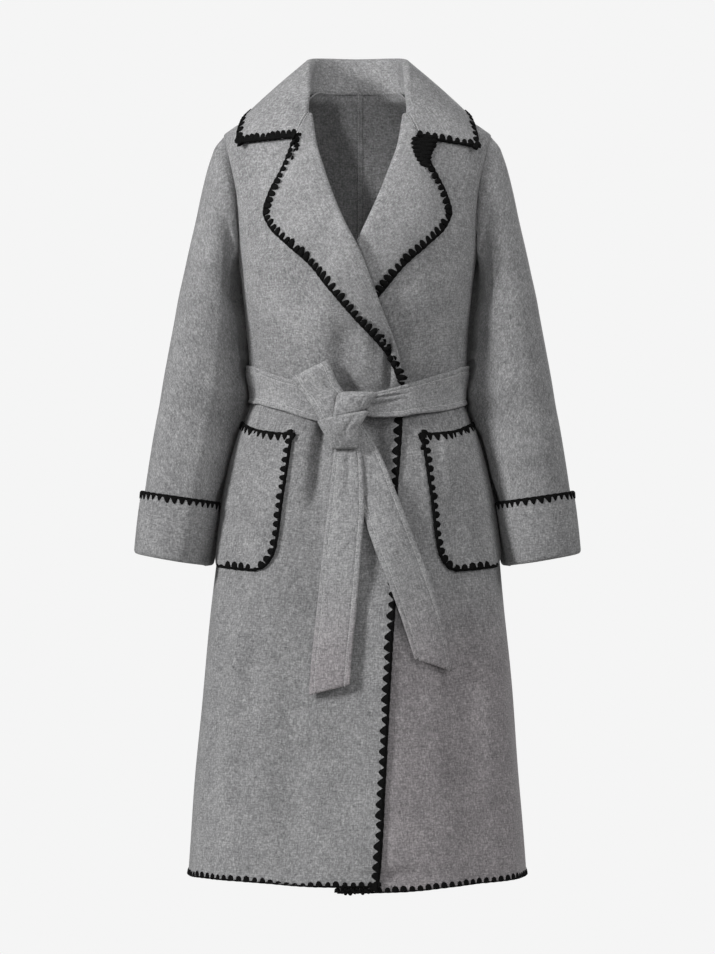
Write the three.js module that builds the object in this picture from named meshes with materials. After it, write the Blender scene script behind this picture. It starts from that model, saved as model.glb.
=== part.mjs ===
import * as THREE from 'three';

// A belted wool wrap coat, filled out as it is worn, with no wearer.
// Millimetres, +Z up, the front faces -Y. The origin is the middle of the neck, at the height
// of the neck seam. Each cut piece is a wall of cloth of its own. Sizes that belong to one side
// are given as q, the distance from the middle towards that side, so both sides share one table.
// Turns are degrees round the body: 0 at the middle of the front, 90 at the side, 180 behind.

// ---- driving sizes ----
const CLOTH = 2.4;            // thickness of the coating
const BELT_CLOTH = 3.6;       // the tie belt is two layers, bagged out and topstitched
const SEAM = 0.3;             // gap that parts two sewn pieces
const LAPEL_STANDS_OFF = 6.7; // middle of the lapel's cloth above the front's, at its edge
const SQUARENESS = 2.3;       // 2 is an ellipse; the filled coat is a little squarer

const HEM = -1146;            // hem of the coat at the sides
const OVER_HEM_LIFT = 3;      // the over front hangs a little short at its edge
const UNDER_HEM_DROP = 6;     // the under front shows below it
const BREAK = -420;           // where the lapels start to turn back
const UNDERARM = -235;
const SHOULDER = -62;         // height of the shoulder point
const GORGE = -38;            // where the roll of the lapel meets the neck seam
const CHEST_ROLL = -268;      // height of the roll line opposite the underarm
const NECK_SPREAD = 0.1;      // how fast the neck seam widens above the gorge
const NECK_SIDE = -4;         // neck seam at the shoulder seam
const NECK_BACK = 7;          // neck seam at the middle of the back
const CUFF_START = 0.903;     // share of the sleeve where the cuff's top edge lies

// ---- tables ----
const table = (names, ...lines) =>
  lines.map((line) => Object.fromEntries(names.map((name, i) => [name, line[i]])));

// Level sections of the body: half width, and depth in front of and behind the shoulder line.
const body = table(['z', 'half', 'front', 'back'],
  [12, 50, 30, 59],
  [7, 58, 31, 62],
  [-4, 72, 34, 66],
  [-12, 95, 40, 70],
  [-22, 125, 50, 75],
  [-32, 152, 60, 80],
  [-43, 172, 69, 84],
  [-52, 185, 76, 88],
  [-62, 196, 82, 92],
  [-80, 196, 91, 95],
  [-100, 194, 99, 99],
  [-150, 185, 117, 103],
  [-235, 174, 130, 102],
  [-300, 166, 128, 96],
  [-365, 160, 118, 90],
  [-405, 158, 112, 87],
  [-440, 153, 106, 84],
  [-475, 163, 113, 92],
  [-545, 184, 124, 106],
  [-603, 196, 131, 115],
  [-669, 205, 137, 123],
  [-801, 218.5, 147, 134],
  [-977, 234.5, 158, 147],
  [-1146, 247.5, 168, 160],
  [-1165, 249, 169, 161]);

// Front edges below the break: how far each passes the middle, as q (past it is negative).
const frontEdge = table(['z', 'q'],
  [-420, -64], [-478, -63], [-532, -60], [-587, -56], [-748, -52], [-793, -49],
  [-908, -43], [-1006, -38], [-1102, -33], [-1160, -28]);

// Lapels: q of the roll line at each height, how much farther back it lies on the over front,
// the edge point that lies opposite it, and the radius of the soft roll.
const lapel = table(['z', 'q', 'over', 'edgeQ', 'edgeZ', 'radius'],
  [-420, -64, 0, -56, -419, 2.4],
  [-400, -55, 0, -48, -397.5, 2.8],
  [-383, -51.5, 0, -37.5, -379, 3],
  [-360, -45.2, 0, -18.6, -352, 3.4],
  [-333, -34.6, 0, 7.6, -323.7, 3.8],
  [-304, -23.4, 0.5, 34.4, -293.9, 4.4],
  [-271, -13.4, 3, 65, -258, 5],
  [-240, -2.6, 4.5, 96.7, -228.7, 5.4],
  [-205, 14.6, 6, 122.9, -201.8, 5.8],
  [-164, 33.4, 5, 131.7, -179.6, 5.8],
  [-120, 50.6, 3, 124.4, -152.5, 5.5],
  [-82, 63, 1, 107.2, -119.3, 5],
  [-38, 70.5, 0, 88.7, -73.4, 4.6]);

// How far the over front stands off the body where it lies on the under front.
const overLift = table(['z', 'lift'],
  [-1160, 4.2], [-820, 4.8], [-540, 4.8], [-480, 4.5], [-440, 5], [-424, 10.2], [-400, 12.6],
  [-333, 14.8], [-271, 17.2], [-238, 18.4], [-212, 16.4], [-190, 9], [-155, 0]);

// Armhole: turn of its front half at each height; the back half mirrors it about the side.
const armhole = table(['z', 'turn'],
  [UNDERARM, 90], [-231, 85], [-222, 80.5], [-200, 75], [-165, 71], [-130, 70],
  [-98, 72.5], [-75, 78], [-66, 83], [SHOULDER, 90]);

// Largest folds: turn at the top and bottom end, the heights between which the fold runs,
// how wide it spreads and how far it rises (a trough is negative).
const folds = table(['atTop', 'atBottom', 'top', 'bottom', 'spread', 'rise'],
  [-68, -74, -330, -470, 5, -6],
  [-30, -40, -300, -420, 9, 5],
  [22, 30, -280, -420, 8, 5],
  [62, 74, -340, -440, 6, -6],
  [-14, -20, -470, -1130, 9, -8],
  [-34, -46, -480, -1150, 10, 6],
  [10, 8, -500, -1120, 8, 6],
  [38, 44, -520, -1150, 9, -7],
  [66, 62, -560, -1150, 9, 5],
  [-66, -66, -560, -1150, 9, 5],
  [128, 122, -470, -1150, 10, 7],
  [150, 152, -520, -1150, 9, -7],
  [-128, -124, -470, -1150, 10, 7],
  [-152, -150, -520, -1150, 9, -7],
  [140, 146, -250, -430, 9, 5],
  [-140, -146, -250, -430, 9, 5]);

// Sleeve sections: q and height of the outer and the inner side, middle and half depth in Y.
const sleeve = table(['t', 'outQ', 'outZ', 'inQ', 'inZ', 'midY', 'halfY'],
  [0, 199.4, -63, 177.2, -235, -1, 44],
  [0.02, 208, -79, 179, -238, -2, 50],
  [0.05, 216, -97, 179, -243, -3, 55],
  [0.12, 226, -136, 176, -256, -2, 60],
  [0.2, 236, -184, 166, -277, -2, 64],
  [0.3, 247, -232, 154, -307, -3, 66],
  [0.45, 264, -316, 148, -367, -8, 66],
  [0.6, 280, -402, 157, -437, -14, 65],
  [0.75, 295, -488, 175, -510, -20, 63],
  [0.87, 306, -558, 191, -575, -25, 60],
  [1, 321, -667, 216, -686, -30, 56]);

// Soft folds of the sleeves: turn round the sleeve (0 outside, 90 in front), place along it,
// spread in turn and in length, and rise.
const sleeveFolds = table(['turn', 't', 'across', 'along', 'rise'],
  [120, 0.3, 40, 0.035, -4],
  [60, 0.42, 46, 0.05, 3],
  [140, 0.47, 40, 0.03, -4],
  [120, 0.62, 50, 0.04, 3],
  [70, 0.7, 50, 0.04, -3],
  [250, 0.4, 50, 0.04, -4],
  [230, 0.56, 46, 0.04, 3],
  [285, 0.68, 50, 0.04, -3]);

// Collar sections from the middle of the back to the notch: neck seam, top of the roll and
// outer edge, roll radius, how far the fall bellies out, and the share of the section that
// stands up (it dies away where the collar is sewn to the top of the lapel).
const collar = table(['seamQ', 'seamY', 'seamZ', 'rollQ', 'rollY', 'rollZ',
  'edgeQ', 'edgeY', 'edgeZ', 'radius', 'belly', 'stand'],
  [0, 62, 8.6, 0, 69, 61, 0, 116, -50, 6, 5, 1],
  [30, 57, 8.2, 31, 63, 61, 64, 114, -49, 6, 5, 1],
  [54, 41, 6.2, 55, 44, 59, 118, 94, -43, 6, 4, 1],
  [68, 20, 2.6, 64, 21, 55, 149, 53, -34, 6, 3, 1],
  [73, 0, -1.4, 66, -1, 49.5, 160, 16, -27, 6, 2.5, 1],
  [73, -24, -9.5, 68, -26, 32, 167, -12, -34, 6, 3, 1],
  [72, -46, -20, 69, -50, 8, 172, -35, -47, 5, 4, 1],
  [70, -68, -34.5, 69, -72, -24, 175, -51, -60.5, 3.5, 4, 0.45],
  [91.5, -90, -71.5, 93, -90, -71.5, 175.5, -62.5, -76, 2, 3, 0]);
const GORGE_STEP = 7;             // from this section on, the seam follows the top of the lapel
const GORGE_GAP = 1.6;            // air left there, where the cloth twists

// Patch pocket: inner side and outer turn at each height, before the slant of its top.
const pocket = table(['z', 'inner', 'outerTurn'],
  [-696, 143, 69], [-692, 132, 76], [-684, 124, 81.5], [-669, 116.5, 85.5],
  [-646, 112, 87], [-619, 108.5, 87], [-580, 102.5, 87], [-540, 96, 87], [-499, 90.5, 87]);
const POCKET_SLANT_TOP = 17;      // rise of the pocket's mouth towards the side
const POCKET_SLANT_BOTTOM = 7;
const POCKET_CLEAR = 1.6;         // air behind the pocket

// Waist stretch of the belt: heights of its edges and its stand-off at each turn.
const waist = table(['turn', 'top', 'bottom', 'out'],
  [-15, -431, -483, 12.5],
  [-22, -426, -478.5, 13.2],
  [-32, -419, -471, 13.8],
  [-45, -411, -463.5, 10.6],
  [-66, -401.5, -455, 4.6],
  [-90, -398, -453, 4.2],
  [-135, -396, -453, 5],
  [-180, -396, -453, 6.5],
  [-225, -396, -453, 5],
  [-270, -398, -455, 4.2],
  [-292, -403, -459.5, 4.6],
  [-315, -412, -467, 6.5],
  [-326, -418, -470, 9.5],
  [-335, -424, -473, 13.6],
  [-341, -429, -474, 14.2],
  [-353, -441, -472, 15.5],
  [-357, -446, -468, 16]);

// Tied stretches of the belt in front of the knot: the two edges (x and z), the stand-off of
// the middle of the cloth and how much it crowns between its edges.
const tied = ['x1', 'z1', 'x2', 'z2', 'out', 'crown'];
const tailLeft = table(tied,
  [-29, -514, 1, -512, 15.5, 2],
  [-33, -543, 6, -548, 15, 2],
  [-40, -607, 8, -602, 14, 1],
  [-48, -671, 4, -665, 14, 1],
  [-58, -772, -4, -762, 14, 1],
  [-64, -830, -10, -822, 13.5, 1],
  [-67, -871, -12, -856, 13, 1]);
const tailRight = table(tied,
  [-12, -497, 14, -487, 8.6, 1],
  [-8, -545, 32, -533, 8.8, 1],
  [2, -600, 52, -586, 9, 1],
  [16, -655, 73, -641, 9.8, 1],
  [35, -706, 92, -690, 10, 1],
  [56, -760, 111, -745, 9.4, 1],
  [78, -822, 134, -838, 7.6, 1]);
const loopFold = table(tied,
  [-50, -480, -24, -456, 20.4, 1],
  [-59, -464, -20.5, -440, 21, 3],
  [-72, -441, -32, -417, 20.2, 4],
  [-84, -419, -44, -396, 18.6, 3],
  [-86, -415, -47, -393, 17.8, 1]);
const knotOver = table(tied,
  [-30, -474, -24, -445, 29.5, 3],
  [-16, -471, -17, -440.5, 31, 4],
  [0, -467.5, 3, -440.5, 30.5, 4],
  [9, -464.5, 17, -441, 28, 3],
  [14, -461, 25.5, -443, 24.5, 2]);
const knotWrap = table(tied,
  [-49.5, -480, 11.5, -465.5, 31.5, 6],
  [-46, -489, 8, -478, 32, 7],
  [-41, -501, 4.5, -494, 30, 6],
  [-36.5, -513, 1.6, -510, 26, 4],
  [-33.5, -520, 0.5, -519, 23, 2]);

// ---- small mathematics ----
const rad = THREE.MathUtils.degToRad;
const lerp = THREE.MathUtils.lerp;
const v3 = (x, y, z) => new THREE.Vector3(x, y, z);
const smooth = (x, low, high) => THREE.MathUtils.smoothstep(x, low, high);
const power = (value, exponent) => Math.sign(value) * Math.abs(value) ** exponent;

// Value of a column at a key, on a smooth curve through the rows that never overshoots them.
function along(rows, column, at, key = 'z') {
  const order = rows[0][key] < rows[1][key] ? rows : [...rows].reverse();
  const last = order.length - 1;
  const x = THREE.MathUtils.clamp(at, order[0][key], order[last][key]);
  let i = 0;
  while (i < last - 1 && order[i + 1][key] < x) i += 1;
  const step = (k) => order[k + 1][key] - order[k][key];
  const rate = (k) => (order[k + 1][column] - order[k][column]) / step(k);
  const slope = (k) => {
    if (k === 0) return rate(0);
    if (k === last) return rate(last - 1);
    return rate(k - 1) * rate(k) <= 0 ? 0 : (2 * rate(k - 1) * rate(k)) / (rate(k - 1) + rate(k));
  };
  const h = step(i);
  const s = (x - order[i][key]) / h;
  return order[i][column] * (1 + 2 * s) * (1 - s) ** 2 + order[i + 1][column] * s * s * (3 - 2 * s)
    + h * s * (1 - s) * (slope(i) * (1 - s) - slope(i + 1) * s);
}

// ---- the body's form ----
const ROUND = 2 / SQUARENESS;

function plainBody(turn, z) {
  const across = Math.sin(rad(turn));
  const ahead = Math.cos(rad(turn));
  const depth = along(body, ahead >= 0 ? 'front' : 'back', z);
  return v3(along(body, 'half', z) * power(across, ROUND), -depth * power(ahead, ROUND), z);
}

function foldRise(turn, z) {
  let rise = 0;
  for (const fold of folds) {
    const s = (fold.top - z) / (fold.top - fold.bottom);
    if (s <= 0 || s >= 1) continue;
    const away = THREE.MathUtils.euclideanModulo(turn - lerp(fold.atTop, fold.atBottom, s) + 180, 360) - 180;
    const fade = smooth(s, 0, 0.25) * (fold.bottom < HEM + 60 ? 1 : smooth(1 - s, 0, 0.25));
    rise += fold.rise * fade * Math.exp(-((away / fold.spread) ** 2));
  }
  return rise;
}

// A point of the coat's form, moved out by a distance, with the direction that it faces.
function formPoint(turn, z, out = 0) {
  const dTurn = 0.6;
  const dZ = 1.5;
  const round = plainBody(turn + dTurn, z).sub(plainBody(turn - dTurn, z));
  const up = plainBody(turn, z + dZ).sub(plainBody(turn, z - dZ));
  const facing = round.cross(up).normalize();
  const at = plainBody(turn, z).addScaledVector(facing, foldRise(turn, z) + out);
  return { at, facing };
}

// Turn at which the form, at a height, lies x from the middle of the front.
function turnAt(x, z) {
  const share = THREE.MathUtils.clamp(x / along(body, 'half', z), -1, 1);
  return THREE.MathUtils.radToDeg(Math.asin(power(share, SQUARENESS / 2)));
}

const onFront = (x, z, out) => formPoint(turnAt(x, z), z, out);

// Turn short of the side seam that leaves half a seam gap.
function sideTurn(z, column) {
  const share = (SEAM / 2) / along(body, column, z);
  const short = 90 - THREE.MathUtils.radToDeg(Math.acos(share ** (SQUARENESS / 2)));
  return column === 'front' ? 90 - short : 90 + short;
}

// Extra stand-off of the over front, which fades out before the under front ends.
function liftOver(x, z) {
  const underStarts = z < BREAK ? along(frontEdge, 'q', z) : along(lapel, 'q', z);
  return along(overLift, 'lift', z) * smooth(x, underStarts - 62, underStarts - 12);
}

// ---- walls ----
// A closed wall round a grid of points, each with the direction that it faces. Where the grid
// holds null the cloth is cut away. A loop joins the last column to the first.
function wall(grid, thickness, loop = false) {
  const columns = grid[0].length;
  const spans = loop ? columns : columns - 1;
  const place = [];
  const numbers = grid.map((row) => row.map(() => -1));
  grid.forEach((row, i) => row.forEach((point, j) => {
    if (!point) return;
    numbers[i][j] = place.length / 6;
    const half = thickness / 2;
    const outer = point.at.clone().addScaledVector(point.facing, half);
    const inner = point.at.clone().addScaledVector(point.facing, -half);
    place.push(...outer.toArray(), ...inner.toArray());
  }));
  const cell = (i, j) => {
    const b = loop ? (j + 1) % columns : j + 1;
    const corners = [[i, j], [i, b], [i + 1, b], [i + 1, j]];
    if (i < 0 || j < 0 || i >= grid.length - 1 || j >= spans) return null;
    return corners.every(([r, c]) => numbers[r][c] >= 0) ? corners.map(([r, c]) => numbers[r][c]) : null;
  };
  const index = [];
  const quad = (a, b, c, d) => index.push(a, b, c, a, c, d);
  for (let i = 0; i < grid.length - 1; i += 1) {
    for (let j = 0; j < spans; j += 1) {
      const corners = cell(i, j);
      if (!corners) continue;
      const outer = corners.map((n) => 2 * n);
      const inner = corners.map((n) => 2 * n + 1);
      quad(...outer);
      quad(inner[0], inner[3], inner[2], inner[1]);
      const around = [
        cell(i - 1, j),
        cell(i, loop ? (j + 1) % columns : j + 1),
        cell(i + 1, j),
        cell(i, loop ? (j + columns - 1) % columns : j - 1)];
      around.forEach((neighbour, side) => {
        if (neighbour) return;
        const next = (side + 1) % 4;
        quad(outer[next], outer[side], inner[side], inner[next]);
      });
    }
  }
  const geometry = new THREE.BufferGeometry();
  geometry.setAttribute('position', new THREE.Float32BufferAttribute(place, 3));
  geometry.setIndex(facingOut(place, index));
  geometry.computeVertexNormals();
  return geometry;
}

// Turns every face round when the closed surface would enclose a negative volume.
function facingOut(place, index) {
  const corner = (n) => v3(place[3 * n], place[3 * n + 1], place[3 * n + 2]);
  let volume = 0;
  for (let i = 0; i < index.length; i += 3) {
    volume += corner(index[i]).dot(corner(index[i + 1]).cross(corner(index[i + 2])));
  }
  return volume < 0 ? index.reverse() : index;
}

// Gives each point of a grid of bare places the direction that it faces, from its neighbours.
function faced(places, loop = false) {
  const at = (i, j) => {
    const row = places[THREE.MathUtils.clamp(i, 0, places.length - 1)];
    const count = row.length;
    const column = loop ? (j + count) % count : THREE.MathUtils.clamp(j, 0, count - 1);
    return row[column];
  };
  return places.map((row, i) => row.map((point, j) => {
    if (!point) return null;
    const round = (at(i, j + 1) ?? point).clone().sub(at(i, j - 1) ?? point);
    const down = (at(i + 1, j) ?? point).clone().sub(at(i - 1, j) ?? point);
    return { at: point, facing: round.cross(down).normalize() };
  }));
}

// ---- cloth finishes ----
const wool = new THREE.MeshStandardMaterial({ color: 0x8c8c90, roughness: 0.95, metalness: 0 });
const beltWool = new THREE.MeshStandardMaterial({ color: 0x868689, roughness: 0.95, metalness: 0 });

const coat = new THREE.Group();

function addPiece(name, geometry, material = wool) {
  const piece = new THREE.Mesh(geometry, material);
  piece.name = name;
  coat.add(piece);
}

// ---- fronts, each with its grown-on lapel ----
// Heights of the rows between the hem and the break: close together round the drawn-in waist.
const SKIRT_ROWS = 13;
const WAIST_LINES = [-480, -463, -446, -431, BREAK];
const BODICE_ROWS = 5;
const ARM_ROWS = 12;
const FRONT_COLUMNS = 12;
const ROLL_STEPS = 4;
const LAPEL_COLUMNS = 5;

function armPoint(turn) {
  const middle = (UNDERARM + SHOULDER) / 2;
  const z = middle + (SHOULDER - UNDERARM) / 2 * Math.cos(rad(turn));
  const ahead = along(armhole, 'turn', z);
  return { z, turn: turn % 360 < 180 ? ahead : 180 - ahead };
}

const lowerLines = (waistLines) => [
  ...Array.from({ length: SKIRT_ROWS }, (_, i) => lerp(HEM, waistLines[0], i / SKIRT_ROWS)), ...waistLines];

// Rows of a front from the hem to the shoulder seam: its outer and its inner end.
function frontRows(hemChange, over) {
  const rows = [];
  const rollAt = (z) => along(lapel, 'q', z) + (over ? along(lapel, 'over', z) : 0);
  for (const z of lowerLines(WAIST_LINES)) {
    const inner = z + hemChange * Math.max(0, (z - WAIST_LINES[0]) / (HEM - WAIST_LINES[0]));
    rows.push({ outZ: z, outTurn: sideTurn(z, 'front'), inZ: inner, inQ: along(frontEdge, 'q', inner) });
  }
  rows[rows.length - 1].lapel = true;
  for (let i = 1; i <= BODICE_ROWS; i += 1) {
    const s = i / BODICE_ROWS;
    const inner = lerp(BREAK, CHEST_ROLL, s);
    const z = lerp(BREAK, UNDERARM, s);
    rows.push({ outZ: z, outTurn: sideTurn(z, 'front'), inZ: inner, inQ: rollAt(inner), lapel: true });
  }
  const gorgeRow = ARM_ROWS - 2;
  for (let i = 1; i <= ARM_ROWS; i += 1) {
    const hole = armPoint(180 - i * 180 / ARM_ROWS);
    const above = i > gorgeRow;
    const inner = above
      ? lerp(GORGE, NECK_SIDE, (i - gorgeRow) / (ARM_ROWS - gorgeRow))
      : lerp(CHEST_ROLL, GORGE, i / gorgeRow);
    const inQ = above ? rollAt(GORGE) + NECK_SPREAD * (inner - GORGE) : rollAt(inner);
    const outTurn = Math.min(hole.turn, sideTurn(hole.z, 'front'));
    rows.push({ outZ: hole.z, outTurn, inZ: inner, inQ, lapel: !above });
  }
  return rows;
}

// Stand-off of the lapel's cloth above the front that it lies on, from the roll to its edge.
function lapelOut(radius, s) {
  const edge = Math.min(LAPEL_STANDS_OFF, 2 * radius);
  return lerp(2 * radius, edge, s) + 3 * radius * s * (1 - s);
}

// Place on the lapel's top edge, from the roll to the notch, moved clear of it by a gap.
function lapelTop(side, s, gap) {
  const row = lapel[lapel.length - 1];
  const spot = (share) => {
    const z = lerp(row.z, row.edgeZ, share);
    return formPoint(side * turnAt(lerp(row.q, row.edgeQ, share), z), z, lapelOut(row.radius, share));
  };
  const gorge = spot(1).at.sub(spot(0).at).normalize();
  const { at, facing } = spot(s);
  return at.addScaledVector(facing.cross(gorge).normalize(), side * gap);
}

function front(side, over) {
  const grid = [];
  const hemChange = over ? OVER_HEM_LIFT : -UNDER_HEM_DROP;
  const lift = (turn, z) => (over ? liftOver(plainBody(turn, z).x, z) : 0);
  for (const row of frontRows(hemChange, over)) {
    const line = [];
    const inTurn = Math.min(turnAt(row.inQ, row.inZ), sideTurn(row.inZ, 'front'));
    for (let j = 0; j <= FRONT_COLUMNS; j += 1) {
      const s = j / FRONT_COLUMNS;
      const z = lerp(row.outZ, row.inZ, s);
      const turn = side * lerp(row.outTurn, inTurn, s);
      line.push(formPoint(turn, z, lift(turn, z)));
    }
    if (!row.lapel) {
      for (let j = 0; j < ROLL_STEPS + LAPEL_COLUMNS; j += 1) line.push(null);
      grid.push(line);
      continue;
    }
    const radius = along(lapel, 'radius', row.inZ);
    const edgeQ = along(lapel, 'edgeQ', row.inZ);
    const edgeZ = along(lapel, 'edgeZ', row.inZ);
    const root = line[FRONT_COLUMNS];
    const onward = root.at.clone().sub(line[FRONT_COLUMNS - 1].at);
    onward.addScaledVector(root.facing, -onward.dot(root.facing)).normalize();
    for (let k = 1; k <= ROLL_STEPS; k += 1) {
      const bend = Math.PI * k / (ROLL_STEPS + 0.6);
      const at = root.at.clone().addScaledVector(root.facing, radius * (1 - Math.cos(bend)));
      at.addScaledVector(onward, radius * Math.sin(bend));
      line.push({ at, roll: true });
    }
    for (let j = 1; j <= LAPEL_COLUMNS; j += 1) {
      const s = j / LAPEL_COLUMNS;
      const q = lerp(row.inQ, edgeQ, s);
      const z = lerp(row.inZ, edgeZ, s);
      const turn = side * turnAt(q, z);
      line.push({ at: formPoint(turn, z, lift(turn, z) + lapelOut(radius, s)).at, roll: true });
    }
    grid.push(line);
  }
  return wall(withRollFacing(grid, side), CLOTH);
}

// Keeps the form's own direction on the front itself, and works out the turned cloth's.
function withRollFacing(grid, side) {
  const worked = faced(grid.map((line) => line.map((point) => (point ? point.at : null))));
  return grid.map((line, i) => line.map((point, j) => {
    if (!point || !point.roll) return point;
    const facing = worked[i][j].facing.clone().multiplyScalar(-side);
    return { at: point.at, facing };
  }));
}

addPiece('front_right', front(-1, true));
addPiece('front_left', front(1, false));

// ---- backs, sewn down the middle ----
const BACK_COLUMNS = 10;
const BACK_LINES = [-480, -463, -446, -431, -415, -392, -360, -320, -278, UNDERARM];
const backTop = table(['step', 'turn', 'z'],
  [0, 180, -240], [2, 180, -184], [4, 180, -124], [6, 180, -60], [8, 180, NECK_BACK],
  [9, 160, 6], [10, 137, 3.4], [11, 113, 0], [12, 90, NECK_SIDE]);

function back(side) {
  const grid = [];
  const nearMiddle = (turn, z) => Math.min(turn, 180 - turnAt(SEAM / 2, z));
  const addRow = (outTurn, outZ, inTurn, inZ) => {
    const line = [];
    for (let j = 0; j <= BACK_COLUMNS; j += 1) {
      const s = j / BACK_COLUMNS;
      const z = lerp(outZ, inZ, s);
      line.push(formPoint(side * lerp(outTurn, inTurn, s), z));
    }
    grid.push(line);
  };
  for (const z of lowerLines(BACK_LINES)) addRow(sideTurn(z, 'back'), z, nearMiddle(180, z), z);
  for (let i = 1; i <= ARM_ROWS; i += 1) {
    const hole = armPoint(180 + i * 180 / ARM_ROWS);
    const inZ = along(backTop, 'z', i, 'step');
    const inTurn = nearMiddle(along(backTop, 'turn', i, 'step'), inZ);
    const limit = (turn, z) => Math.max(turn, sideTurn(z, 'back'));
    addRow(limit(hole.turn, hole.z), hole.z, limit(inTurn, inZ), inZ);
  }
  return wall(grid, CLOTH);
}

addPiece('back_right', back(-1));
addPiece('back_left', back(1));

// ---- sleeves and turned-back cuffs ----
const SLEEVE_ROUND = 24;
const SLEEVE_ROWS = [
  0, 0.02, 0.05, 0.09, 0.14, 0.2, 0.27, 0.34, 0.41, 0.48, 0.55, 0.62, 0.69, 0.76, 0.83, 0.9, 0.95, 1];
const ARM_SQUARENESS = 2.2;
const SLEEVE_CLEAR = 1.6;          // air between the sleeve and the body
const POCKET_ALLOWANCE = 8;        // room for the pocket and its edge stitch
const BELT_ALLOWANCE = 8;          // room for the belt
const PRESSED_SOFTLY = 5;          // how gently the sleeve bends where it lies along the body
const CUFF_OUT = 4.6;              // stand-off of the cuff from the sleeve

function ringPoint(turn, row) {
  const c = power(Math.cos(rad(turn)), 2 / ARM_SQUARENESS);
  const s = power(Math.sin(rad(turn)), 2 / ARM_SQUARENESS);
  return v3(
    (row.outQ + row.inQ) / 2 + c * (row.outQ - row.inQ) / 2,
    row.midY - s * row.halfY,
    (row.outZ + row.inZ) / 2 + c * (row.outZ - row.inZ) / 2);
}

const sleeveRow = (t) => Object.fromEntries(
  Object.keys(sleeve[0]).map((name) => [name, along(sleeve, name, t, 't')]));

// Place of the sleeve's cloth on the +X side; its first ring is the armhole, moved out.
function sleevePlace(turn, t) {
  const at = ringPoint(turn, sleeveRow(t));
  const fade = Math.max(0, 1 - t / 0.2) ** 2;
  if (fade > 0) {
    const hole = armPoint(turn);
    const target = formPoint(hole.turn, hole.z).at.add(v3(CLOTH + SEAM, 0, 0));
    at.addScaledVector(target.sub(ringPoint(turn, sleeve[0])), fade);
  }
  const cuffed = smooth(t, CUFF_START - 0.06, CUFF_START);
  const pocketed = smooth(-at.z, 460, 500) * POCKET_ALLOWANCE * lerp(1, 0.4, smooth(at.y, 0, 30));
  const belted = smooth(-at.z, 372, 390) * (1 - smooth(-at.z, 466, 484)) * BELT_ALLOWANCE;
  const need = CLOTH + SLEEVE_CLEAR + cuffed * (CUFF_OUT + CLOTH / 2) + pocketed + belted;
  const deep = along(body, at.y < 0 ? 'front' : 'back', at.z);
  const share = Math.min(1, Math.abs(at.y) / deep);
  const bodyQ = along(body, 'half', at.z) * (1 - share ** SQUARENESS) ** (1 / SQUARENESS);
  const least = bodyQ + need;
  const apart = at.x - least;
  const beside = least + (apart + Math.hypot(apart, PRESSED_SOFTLY)) / 2;
  at.x = lerp(at.x, beside, smooth(t, 0.01, 0.05) * smooth(UNDERARM + 12 - at.z, 0, 25));
  return at;
}

function sleevePoint(turn, t, out = 0) {
  const dTurn = 2;
  const dT = 0.004;
  const t0 = Math.max(0, t - dT);
  const t1 = Math.min(1, t + dT);
  const round = sleevePlace(turn + dTurn, t).sub(sleevePlace(turn - dTurn, t));
  const down = sleevePlace(turn, t1).sub(sleevePlace(turn, t0));
  const facing = round.cross(down).normalize();
  let rise = 0;
  for (const fold of sleeveFolds) {
    const away = THREE.MathUtils.euclideanModulo(turn - fold.turn + 180, 360) - 180;
    rise += fold.rise * Math.exp(-((away / fold.across) ** 2) - ((t - fold.t) / fold.along) ** 2);
  }
  return { at: sleevePlace(turn, t).addScaledVector(facing, rise + out), facing };
}

function toSide(side, point) {
  const swap = (vector) => vector.clone().setX(side * vector.x);
  return { at: swap(point.at), facing: swap(point.facing) };
}

function sleeveWall(side) {
  const grid = SLEEVE_ROWS.map((t) => Array.from({ length: SLEEVE_ROUND },
    (_, j) => toSide(side, sleevePoint(j * 360 / SLEEVE_ROUND, t))));
  return wall(grid, CLOTH, true);
}

// The cuff runs down outside the sleeve, turns under its end and goes up a little inside.
function cuffWall(side) {
  const places = [];
  const turnUnder = CLOTH / 2 + SEAM + CLOTH / 2 + 0.4;
  const ring = (t, out, drop) => Array.from({ length: SLEEVE_ROUND }, (_, j) => {
    const turn = j * 360 / SLEEVE_ROUND;
    const point = sleevePoint(turn, t, out);
    const down = sleevePlace(turn, 1).sub(sleevePlace(turn, 0.96)).normalize();
    return toSide(side, { at: point.at.addScaledVector(down, drop), facing: point.facing }).at;
  });
  const lower = 3.9;
  for (const s of [0, 0.25, 0.5, 0.75, 0.97]) {
    places.push(ring(lerp(CUFF_START, 1, s), lerp(CUFF_OUT + 0.8, lower, s), 0));
  }
  places.push(ring(1, lower * 0.8, turnUnder));
  places.push(ring(1, 0, turnUnder + 1.6));
  places.push(ring(1, -lower * 0.8, turnUnder));
  places.push(ring(0.99, -lower, 0));
  places.push(ring(0.96, -lower, 0));
  return wall(faced(places, true), CLOTH, true);
}

for (const [name, side] of [['right', -1], ['left', 1]]) {
  addPiece(`sleeve_${name}`, sleeveWall(side));
  addPiece(`cuff_${name}`, cuffWall(side));
}

// ---- collar: a stand and a wide fall in one piece ----
const STAND_STEPS = 2;
const FALL_STEPS = 5;

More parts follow.
